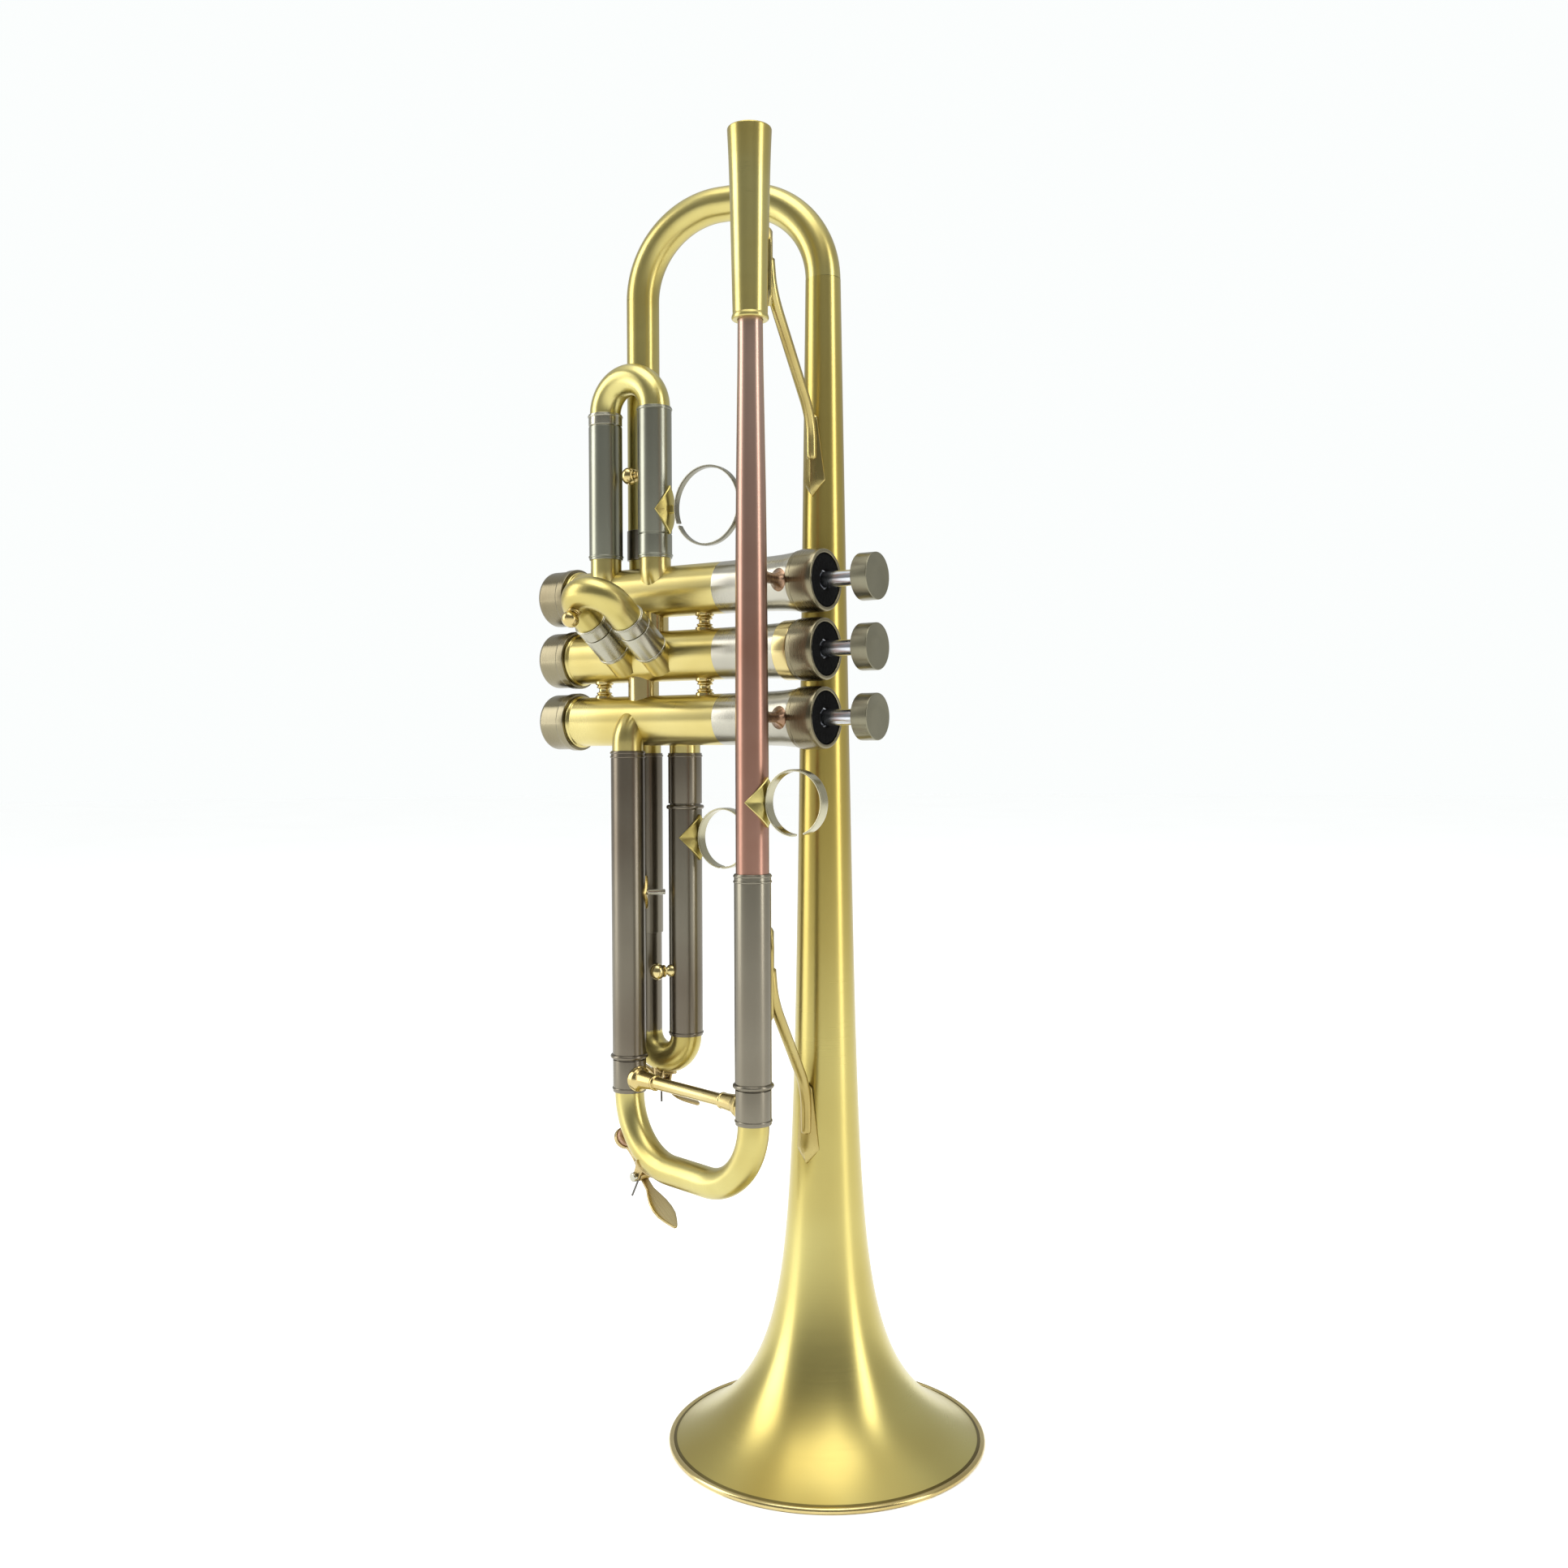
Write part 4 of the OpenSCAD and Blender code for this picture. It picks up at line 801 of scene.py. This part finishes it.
# ---------- Third slide ----------
THIRD_BOW_Z = 154.5
piece("third_outer_tubes", sleeve(THIRD[0], 194.4, 266.7, fine=(265.6,)) +
      sleeve(THIRD[1], 246.7, 266.7, bore=BORE_R, fine=(265.5,)) +
      sleeve(THIRD[1], 163, 246.9, LEG_R, BORE_R), nickel, "horn", "nickel_silver",
      "third_slide_fixed_tubes")
piece("third_moving_sleeve", sleeve(THIRD[1], THIRD_BOW_Z, 246.2, fine=(155.6,), ring=245.3),
      nickel, "third_slide", "nickel_silver", "third_outer_sleeve")
piece("third_leg", sleeve(THIRD[0], THIRD_BOW_Z, 260, LEG_R, BORE_R), nickel, "third_slide",
      "nickel_silver", "third_inner_leg")
third_path, third_side = u_turn(THIRD[0], THIRD[1], THIRD_BOW_Z, -1, 0.8)
piece("third_bow_tube", [pipe(third_path, third_side, LEG_R, 0.4, 64)], brass, "third_slide",
      "bell_brass", "third_bow")
toward = np.array([np.cos(np.radians(-120)), np.sin(np.radians(-120)), 0])
piece("third_pull_knob", [turned(knob(15.2, SLEEVE_R), THIRD[1] + 180.5 * Z, toward, 56, False)],
      bright_brass, "third_slide", "trim_brass", "third_knob")
RING_R = 11.9
finger_x = THIRD[1][0] + SLEEVE_R + 1.1 + RING_R - 0.3
piece("finger_band", [band_ring([finger_x, THIRD[1][1], 233.4], RING_R, 4.5, 0.8, -92, 262)],
      ring_nickel, "third_slide", "pale_nickel", "finger_ring")
piece("finger_plate", [diamond_plate(THIRD[1], 233.4, SLEEVE_R, 0, 8.6, 9)], brass,
      "third_slide", "trim_brass", "finger_ring")
pinky_x = LEAD[0] + 6.02 + 1.1 + RING_R - 0.3
piece("pinky_band", [band_ring([pinky_x, LEAD[1], 249], RING_R, 4.5, 0.8, -69.5, 265.5)],
      ring_nickel, "horn", "pale_nickel", "pinky_ring")
piece("pinky_plate", [diamond_plate(LEAD, 249, 6.0, 0, 8.4, 9)], brass, "horn", "trim_brass",
      "pinky_ring")

# ---------- Main tuning slide ----------
tuning_path, tuning_side = square_bow(LOWER, LEAD, FERRULE_Z, TUNING_CORNER, -1, 0.8)
piece("tuning_bow_tube", [pipe(tuning_path, tuning_side, BOW_TUBE_R, 0.4, 72)], brass,
      "tuning_slide", "bell_brass", "tuning_bow")
tuning_grids = []
for at in (LEAD, LOWER):
    tuning_grids += sleeve(at, FERRULE_Z, SLEEVE_Z - 0.4, FERRULE_R, 5.35, fine=(FERRULE_Z + 1.4,))
    tuning_grids += sleeve(at, SLEEVE_Z - 0.5, SLEEVE_Z + 60, LEG_R, BORE_R)
piece("tuning_ferrules", tuning_grids, nickel, "tuning_slide", "nickel_silver", "tuning_legs")


def brace_rod():
    """The tuning slide's brace: a slim bar with a cone sleeve and a fine collar at each end."""
    length = 2 * between(LOWER, LEAD)[2]
    half = [(5.5, 4.95), (7.6, 4.6), (8.3, 3.8), (9.4, 3.5), (16.3, 2.9), (16.6, 3.1), (17.4, 3.1),
            (17.6, 2.4)]
    p = half + [(length - t, r) for t, r in half[::-1]]
    return softened([(5.5, 0)] + p + [(length - 5.5, 0)],
                    [0, 0.2] + [0.25] * (len(p) - 2) + [0.2, 0], 5, False)


brace_way = between(LOWER, LEAD)[1]
azimuth = np.degrees(np.arctan2(brace_way[1], brace_way[0]))
round_foot = np.stack([5.0 * np.cos(wrap_angles(48)), 5.0 * np.sin(wrap_angles(48))], -1)
foot_rise = np.array([0.8, 0.8, 0.75, 0.5])
feet = [wrapped(round_foot, at, BRACE_Z, FERRULE_R, turn, foot_rise, np.array([0, 0.6, 0.93, 1.0]))
        for at, turn in ((LOWER, azimuth), (LEAD, azimuth + 180))]
piece("tuning_brace_rod", [turned(brace_rod(), LOWER + BRACE_Z * Z, brace_way, 56, False)] + feet,
      bright_brass, "tuning_slide", "trim_brass", "tuning_brace")

# ---------- Bell braces and posts ----------
SPEAR = np.array([(0.0, 1.0), (1.0, 0.62), (0.42, -0.88), (0.0, -1.0), (-0.42, -0.88),
                  (-1.0, 0.62)])


def spear_plate(at, z0, z1, r, azimuth, wide, thick, flip=False):
    """A spear-shaped foot with a ridge down its middle, bent round a tube."""
    shape = outline(SPEAR * (wide, (z1 - z0) / 2) * ((1, -1) if flip else (1, 1)))
    shrink = np.array([(0.0, 0.9), (0.5, 0.95), (0.93, 0.985), (1.0, 1.0)])
    return wrapped(shape, at, (z0 + z1) / 2, r, azimuth, np.array([1.0, 0.72, 0.42, 0.2]) * thick,
                   shrink)


def bent_rod(corners, r):
    """A bar along a polyline whose corners are quadratic curves of up to 9 mm a side."""
    c = np.asarray(corners, float)
    runs = [line(c[0], c[0] + unit(c[1] - c[0]) * 0.5)]
    for a, knee, b in zip(c[:-2], c[1:-1], c[2:]):
        reach_a = min(9, np.linalg.norm(a - knee) / 2)
        reach_b = min(9, np.linalg.norm(b - knee) / 2)
        start, stop = knee + unit(a - knee) * reach_a, knee + unit(b - knee) * reach_b
        t = np.linspace(0, 1, 14)[:, None]
        curve = (1 - t) ** 2 * start + 2 * t * (1 - t) * knee + t ** 2 * stop
        runs += [line(runs[-1][-1], start, 5), curve]
    path = join(*runs, line(runs[-1][-1], c[-1], 4))
    side = unit(np.cross(c[1] - c[2], c[3] - c[2]))
    return capped(path, side, round_section(36) * r, 1.2)


def brace(name, node, foot_at, foot_turn, foot_z, foot_r, top_z, knee, end, bell_z, bell_r):
    """A bell brace: spear foot on the leadpipe side, bent rod, spear foot on the bell."""
    a = np.radians(foot_turn)
    out = np.array([np.cos(a), np.sin(a), 0])
    corners = [foot_at + (foot_r + 0.1) * out + (top_z + 13) * Z,
               foot_at + (foot_r + 1.1) * out + (top_z + 1) * Z, np.array(knee), np.array(end)]
    piece(name, [spear_plate(foot_at, foot_z[0], foot_z[1], foot_r, foot_turn, 3.4, 1.5),
                 bent_rod(corners, 2.05),
                 spear_plate(ORIGIN, bell_z[0], bell_z[1], bell_r, -90, 4.9, 1.9, True)],
          brace_brass, "horn", "trim_brass", node)


brace("upper_brace", "upper_bell_brace", LEAD, 52, (426, 454), 7.0, 430, (0.6, -9.9, 393),
      (0.2, -9.0, 378), (364, 396), 7.85)
brace("lower_brace", "lower_bell_brace", LEAD, 55, (170, 204), SLEEVE_R, 176, (0.4, -14.7, 139),
      (0.2, -14.2, 122), (110, 141), 13.2)


def post_flare(i):
    """A post from the leadpipe to a casing top: slim in the middle, flared at both ends."""
    p = [(-7.6, 0), (-7.6, 2.9), (-5.6, 2.6), (-3.4, 2.0), (1.0, 2.0), (3.4, 3.0), (5.4, 4.6),
         (5.4, 0)]
    profile = softened(p, [0, 0.3, 1, 1, 1, 1, 0.3, 0], 6, False)
    return turned(profile, (1.5, -38.4, VALVE_Z[i]), Y, 48, False)


piece("leadpipe_post_flares", [post_flare(i) for i in (0, 2)], red_post, "horn", "copper",
      "leadpipe_posts")
post_angle = 50
post_way = np.array([np.cos(np.radians(post_angle)), np.sin(np.radians(post_angle)), 0])
pin = softened([(6.4, 0), (6.4, 1.1), (14.66, 1.1), (14.66, 0.62), (10.6, 0.6), (10.6, 0)],
               [0, 0, 0.15, 0.1, 0.1, 0], 4, False)
piece("sleeve_post_pin", [turned(pin, LOWER + 211.6 * Z, post_way, 36, False)], fine_nickel,
      "horn", "trim_brass", "sleeve_post")
piece("sleeve_post_plate", [diamond_plate(LOWER, 211.6, SLEEVE_R, post_angle, 5, 6.5)],
      bright_brass, "horn", "trim_brass", "sleeve_post")

# ---------- Water keys ----------


class KeyFrame:
    """The plane of a bow: point (x, y, z) is centre + x u + y w + z Z, with u across the bow and
    w square to it. Angles are in the plane, from u towards Z."""

    def __init__(self, centre, u):
        self.centre, self.u = centre, u
        self.w = np.cross(Z, u)

    def at(self, x, z, y=0.0):
        return self.centre + x * self.u + y * self.w + z * Z

    def way(self, angle):
        return np.cos(np.radians(angle)) * self.u + np.sin(np.radians(angle)) * Z

    def polar(self, r, angle, y=0.0):
        return self.centre + r * self.way(angle) + y * self.w


def key_arm(f, pivot, angle, reach, wide, thick, bow):
    """A flat arm from the pivot at an angle: its width follows the list, and its middle bows
    out by the bow length."""
    t = np.linspace(0, 1, len(wide) * 5)
    w = np.interp(t, np.linspace(0, 1, len(wide)), wide)
    path = f.at(*pivot) + (reach * t)[:, None] * f.way(angle) \
        + (bow * np.sin(np.pi * t))[:, None] * f.way(angle + 90)
    scale = np.stack([np.full(len(t), thick), w], -1)
    return capped(path, f.w, flat_section(1, 1, 36, 5), 0.35, scale)


def wire_loop(f, pivot, r, y0, y1, turns, tail_angles, tails):
    """A hair spring: a small coil about the pivot with a straight tail from each end."""
    t = np.linspace(0, 1, 60)
    start, stop = np.radians(tail_angles)
    a = start + (TURN * turns + stop - start) * t
    ring = np.cos(a)[:, None] * f.u + np.sin(a)[:, None] * Z
    coil = f.at(*pivot) + r * ring + (y0 + (y1 - y0) * t)[:, None] * f.w
    first = coil[0] + tails[0] * unit(coil[0] - coil[1])
    last = coil[-1] + tails[1] * unit(coil[-1] - coil[-2])
    path = join(line(first, coil[0], 5), coil, line(coil[-1], last, 5))
    return capped(path, f.w, round_section(10) * 0.4, 0.1)


def key_saddle(f, turn, tube, at, half_a, half_w):
    """A star plate on the bow: its outline has pulled-in sides, and each point lies at the angle
    at + s / outer round the bow's turn and c / tube round its tube, 0.9 mm proud."""
    a = wrap_angles(64)
    star = (np.abs(np.cos(a)) ** 0.9 + np.abs(np.sin(a)) ** 0.9) ** -1.35
    o = np.stack([half_a * star * np.cos(a), half_w * star * np.sin(a)], -1)
    shrink = np.array([0, 0.5, 0.93, 1.0, 1.0, 0])
    rise = np.array([0.95, 0.95, 0.9, 0.6, -0.3, -0.3])
    flat = o[None] * shrink[:, None, None]
    round_bow = np.radians(at) + flat[..., 0] / (turn + tube)
    round_tube = flat[..., 1] / tube
    rr = tube + rise[:, None]
    out = turn + rr * np.cos(round_tube)
    points = f.centre + out[..., None] * (np.cos(round_bow)[..., None] * f.u
                                          + np.sin(round_bow)[..., None] * Z) \
        + (rr * np.sin(round_tube))[..., None] * f.w
    return points, np.concatenate([flat, rise[:, None, None] + 0 * flat[..., :1]], -1), False


def key_ears(f, pivot, turn, tube):
    """Two ears from the bow's saddle to the pivot, each a flat bar narrowing outwards."""
    x, z = pivot
    reach, angle = np.hypot(x, z), np.degrees(np.arctan2(z, x))
    grids = []
    for y in (-3.0, 3.0):
        path = line(f.polar(turn + tube * 0.72, angle, y), f.polar(reach + 1.7, angle, y), 8)
        scale = np.stack([np.interp(np.linspace(0, 1, 8), [0, 0.5, 0.75, 1], [5.4, 3.9, 3.7, 2.4]),
                          np.full(8, 1.1)], -1)
        grids.append(capped(path, f.w, flat_section(1, 1, 36, 4), 0.5, scale))
    return grids


def key_screw(f, pivot):
    """The slotted pivot screw: a pin through both ears with a domed head on the near side."""
    p = softened([(-4.5, 0), (-4.5, 0.78), (3.6, 0.78), (3.6, 1.9), (5.1, 1.75), (5.1, 0)],
                 [0, 0.15, 0.05, 0.2, 0.5, 0], 5, False)
    return turned(p, f.at(*pivot), -f.w, 40, False)


def cork_cup(f, at, r0, radius, deep):
    """The cup on the arm that holds the cork: a shallow turned dish."""
    p = softened([(0, 0), (0, radius), (-deep, radius), (-deep, radius - 0.5),
                  (-0.7, radius - 0.5), (-0.7, 0)], [0, 0.5, 0.15, 0.15, 0.2, 0], 5, False)
    return turned(p, f.polar(r0, at), f.way(at), 56, False)


def disc(f, at, r0, r1, radius, edge=0.25):
    """A short round post along the bow's radius at an angle, from r0 to r1."""
    p = softened([(r0, 0), (r0, radius), (r1, radius), (r1, 0)], [0, edge, edge, 0], 5, False)
    return turned(p, f.centre, f.way(at), 56, False)


KEY_HUB = softened([(-2.1, 0), (-2.1, 2.0), (2.1, 2.0), (2.1, 0)], [0, 0.3, 0.3, 0], 5, False)


def water_key(f, pivot, cork_at, turn, tube, names, nodes, bodies, saddle, spring, nipple, arms,
              cup, cork_r, hub=1.0):
    """A whole water key on a bow: saddle with ears, screw, spring and nipple stay with the
    slide; the lever with its cup and its cork turn on the hinge."""
    slide, key = bodies
    mount, bow, lever, cork_node = nodes
    outer = turn + tube
    piece(names[0], [key_saddle(f, turn, tube, *saddle)] + key_ears(f, pivot, turn, tube),
          key_brass, slide, "trim_brass", mount)
    piece(names[1], [key_screw(f, pivot)], fine_nickel, slide, "trim_brass", mount)
    piece(names[2], [wire_loop(f, pivot, 1.35, -2.6, 2.6, 3.0, *spring)], spring_steel, slide,
          "steel", mount)
    piece(names[3], [disc(f, cork_at, turn + nipple[0], outer + 1.2, nipple[1])], bright_brass,
          slide, "bell_brass", bow)
    piece(names[4], [turned(KEY_HUB * (1, hub), f.at(*pivot), f.w, 48, False)]
          + [key_arm(f, pivot, *arm) for arm in arms] + [cork_cup(f, cork_at, outer + 4.75, *cup)],
          key_brass, key, "trim_brass", lever)
    piece(names[5], [disc(f, cork_at, outer + 1.2, outer + 4.1, cork_r, 0.5)], cork, key, "cork",
          cork_node)


tuning_mid, tuning_u, tuning_half = between(LOWER, LEAD)
bow_centre = tuning_mid + (TUNING_CORNER - tuning_half) * tuning_u + FERRULE_Z * Z
water_key(KeyFrame(bow_centre, tuning_u), (-18.5, -32.0), 213, TUNING_CORNER, BOW_TUBE_R,
          names=("key_saddle_plate", "key_pivot_screw", "key_spring_wire", "key_nipple",
                 "key_lever_arm", "key_cork"),
          nodes=("water_key_mount", "tuning_bow", "water_key_lever", "water_key_cork"),
          bodies=("tuning_slide", "water_key"),
          saddle=(239.9, 9.0, 7.8), spring=((-30, 40), (7.5, 5.5)), nipple=(5.2, 2.6),
          arms=((-37, 26.3, [3.4, 3.2, 3.6, 6.4, 8.6, 9.4, 8.6, 5.6, 1.6], 1.15, -0.9),
                (137, 16.6, [3.2, 2.6, 2.4, 2.6, 3.6], 1.3, -1.4)),
          cup=(4.3, 2.0), cork_r=3.7)
third_mid, third_u, third_half = between(THIRD[0], THIRD[1])
water_key(KeyFrame(third_mid + THIRD_BOW_Z * Z, third_u), (-2.2, -20.5), 219.5, third_half, LEG_R,
          names=("third_key_plate", "third_key_screw", "third_key_spring", "third_nipple",
                 "third_key_arm", "third_key_cork"),
          nodes=("third_key_mount", "third_bow", "third_key_lever", "third_key_lever"),
          bodies=("third_slide", "third_water_key"),
          saddle=(263.8, 6.6, 5.4), spring=((0, 60), (7.0, 5.0)), nipple=(5.4, 2.2),
          arms=((-20, 19.3, [3.0, 3.0, 4.4, 6.4, 7.0, 6.2, 4.2, 1.4], 1.1, -0.7),
                (152, 15.0, [3.0, 2.4, 2.2, 2.4, 3.2], 1.2, -1.0)),
          cup=(3.5, 1.9), cork_r=2.95, hub=0.9)

# ---------- CAD parts that stay, with a better finish ----------
KEPT = {"valve_guides": ivory, "piston_1": bare_steel, "piston_2": bare_steel,
        "piston_3": bare_steel}
for node, material in KEPT.items():
    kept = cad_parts[node]
    kept.data.materials.clear()
    kept.data.materials.append(material)


# ---------- Floor, light and camera ----------
def studio_panel(name, centre, way, size, power):
    """A soft rectangular light at centre, facing along way."""
    data = bpy.data.lights.new(name, "AREA")
    data.shape, data.size, data.size_y = "RECTANGLE", size[0], size[1]
    data.energy = power
    obj = bpy.data.objects.new(name, data)
    back = -unit(way)
    side = unit(np.cross(Z, back)) if abs(back[2]) < 0.95 else X
    basis = np.stack([side, np.cross(back, side), back], -1)
    place = np.eye(4)
    place[:3, :3], place[:3, 3] = basis, centre
    obj.matrix_world = Matrix(place.tolist())
    bpy.context.scene.collection.objects.link(obj)


def floor_disc():
    """A flat round floor of radius 9 m at the height the rim stands on."""
    r = np.array([0.0, 1.0, 3.0, 9.0])[:, None]
    a = wrap_angles(64)
    return np.stack([r * np.cos(a), r * np.sin(a), 0 * r * a], -1)


def floor_paint():
    """Pale matt paper with very faint mottling."""
    n = Nodes("pale_floor")
    place = n.add("ShaderNodeTexCoord").outputs["Object"]
    mottle = n.noise(place, (3, 3, 3), 3.0, 0.5)
    share = n.span(mottle, 0.3, 0.7, 0, 1)
    n.put(n.shader.inputs["Base Color"],
          n.blend(share, (0.93, 0.94, 0.935, 1), (0.96, 0.97, 0.965, 1)))
    n.shader.inputs["Roughness"].default_value = 0.85
    n.shader.inputs["Emission Color"].default_value = (1, 1, 1, 1)
    n.shader.inputs["Emission Strength"].default_value = 0.36
    return n.material


def lay_floor():
    """The floor disc as a staged mesh, which is not part of the object."""
    points = floor_disc()
    index = np.arange(points[..., 0].size).reshape(points.shape[:2])
    mesh = bpy.data.meshes.new("floor")
    mesh.from_pydata(points.reshape(-1, 3), [], grid_quads(index, False))
    mesh.materials.append(floor_paint())
    obj = bpy.data.objects.new("floor", mesh)
    bpy.context.scene.collection.objects.link(obj)


lay_floor()

YAW, PITCH, ROLL = np.radians([33.22, 1.20, -0.21])
FOCAL, SENSOR = 34.6745963, 36
CAMERA_AT = (0.30648, -0.49664, 0.26678)
ahead = np.array([-np.sin(YAW) * np.cos(PITCH), np.cos(YAW) * np.cos(PITCH), -np.sin(PITCH)])
right = np.array([np.cos(YAW), np.sin(YAW), 0])
up = np.cross(right, ahead)
right, up = np.cos(ROLL) * right + np.sin(ROLL) * up, np.cos(ROLL) * up - np.sin(ROLL) * right


def room():
    """The room: white wherever it is looked at. As a light it is grey ahead and at the sides and
    dim on the near side, by the dot product of the direction with the way ahead, and it is
    bright overhead."""
    world = bpy.data.worlds.new("pale_room")
    world.use_nodes = True
    n = Nodes("pale_room", world.node_tree)
    paint = n.tree.nodes["Background"]
    way = n.add("ShaderNodeTexCoord").outputs["Generated"]
    facing = n.add("ShaderNodeVectorMath", {0: way, 1: ahead}, operation="DOT_PRODUCT")
    height = n.add("ShaderNodeSeparateXYZ", {0: way}).outputs["Z"]
    level = n.span(facing.outputs["Value"], -0.8, 0.2, 0.22, 0.58, "SMOOTHSTEP")
    light = n.math("MAXIMUM", level, n.span(height, 0.45, 0.9, 0.0, 0.95, "SMOOTHSTEP"))
    seen = n.add("ShaderNodeLightPath").outputs["Is Camera Ray"]
    n.put(paint.inputs["Strength"], n.math("MAXIMUM", light, seen))
    paint.inputs["Color"].default_value = (0.97, 0.99, 0.985, 1)
    bpy.context.scene.world = world


room()
bpy.context.scene.view_settings.view_transform = "Standard"

VALVES_AT = np.array([0.0, 0.0, 0.25])
LEFT_AT, RIGHT_AT = np.array([-1.6, -1.1, 0.9]), np.array([1.7, 0.2, 0.8])
studio_panel("left_panel", LEFT_AT, VALVES_AT - LEFT_AT, (1.0, 1.8), 20)
studio_panel("right_panel", RIGHT_AT, VALVES_AT - RIGHT_AT, (0.45, 1.6), 11)
studio_panel("top_panel", (0.2, -0.4, 2.0), (-0.1, 0.2, -1), (1.6, 1.2), 15)

camera = bpy.data.objects.new("camera", bpy.data.cameras.new("camera"))
camera.data.lens, camera.data.sensor_width = FOCAL, SENSOR
place = np.eye(4)
place[:3, :3], place[:3, 3] = np.stack([right, up, -ahead], -1), CAMERA_AT
camera.matrix_world = Matrix(place.tolist())
bpy.context.scene.collection.objects.link(camera)
bpy.context.scene.camera = camera
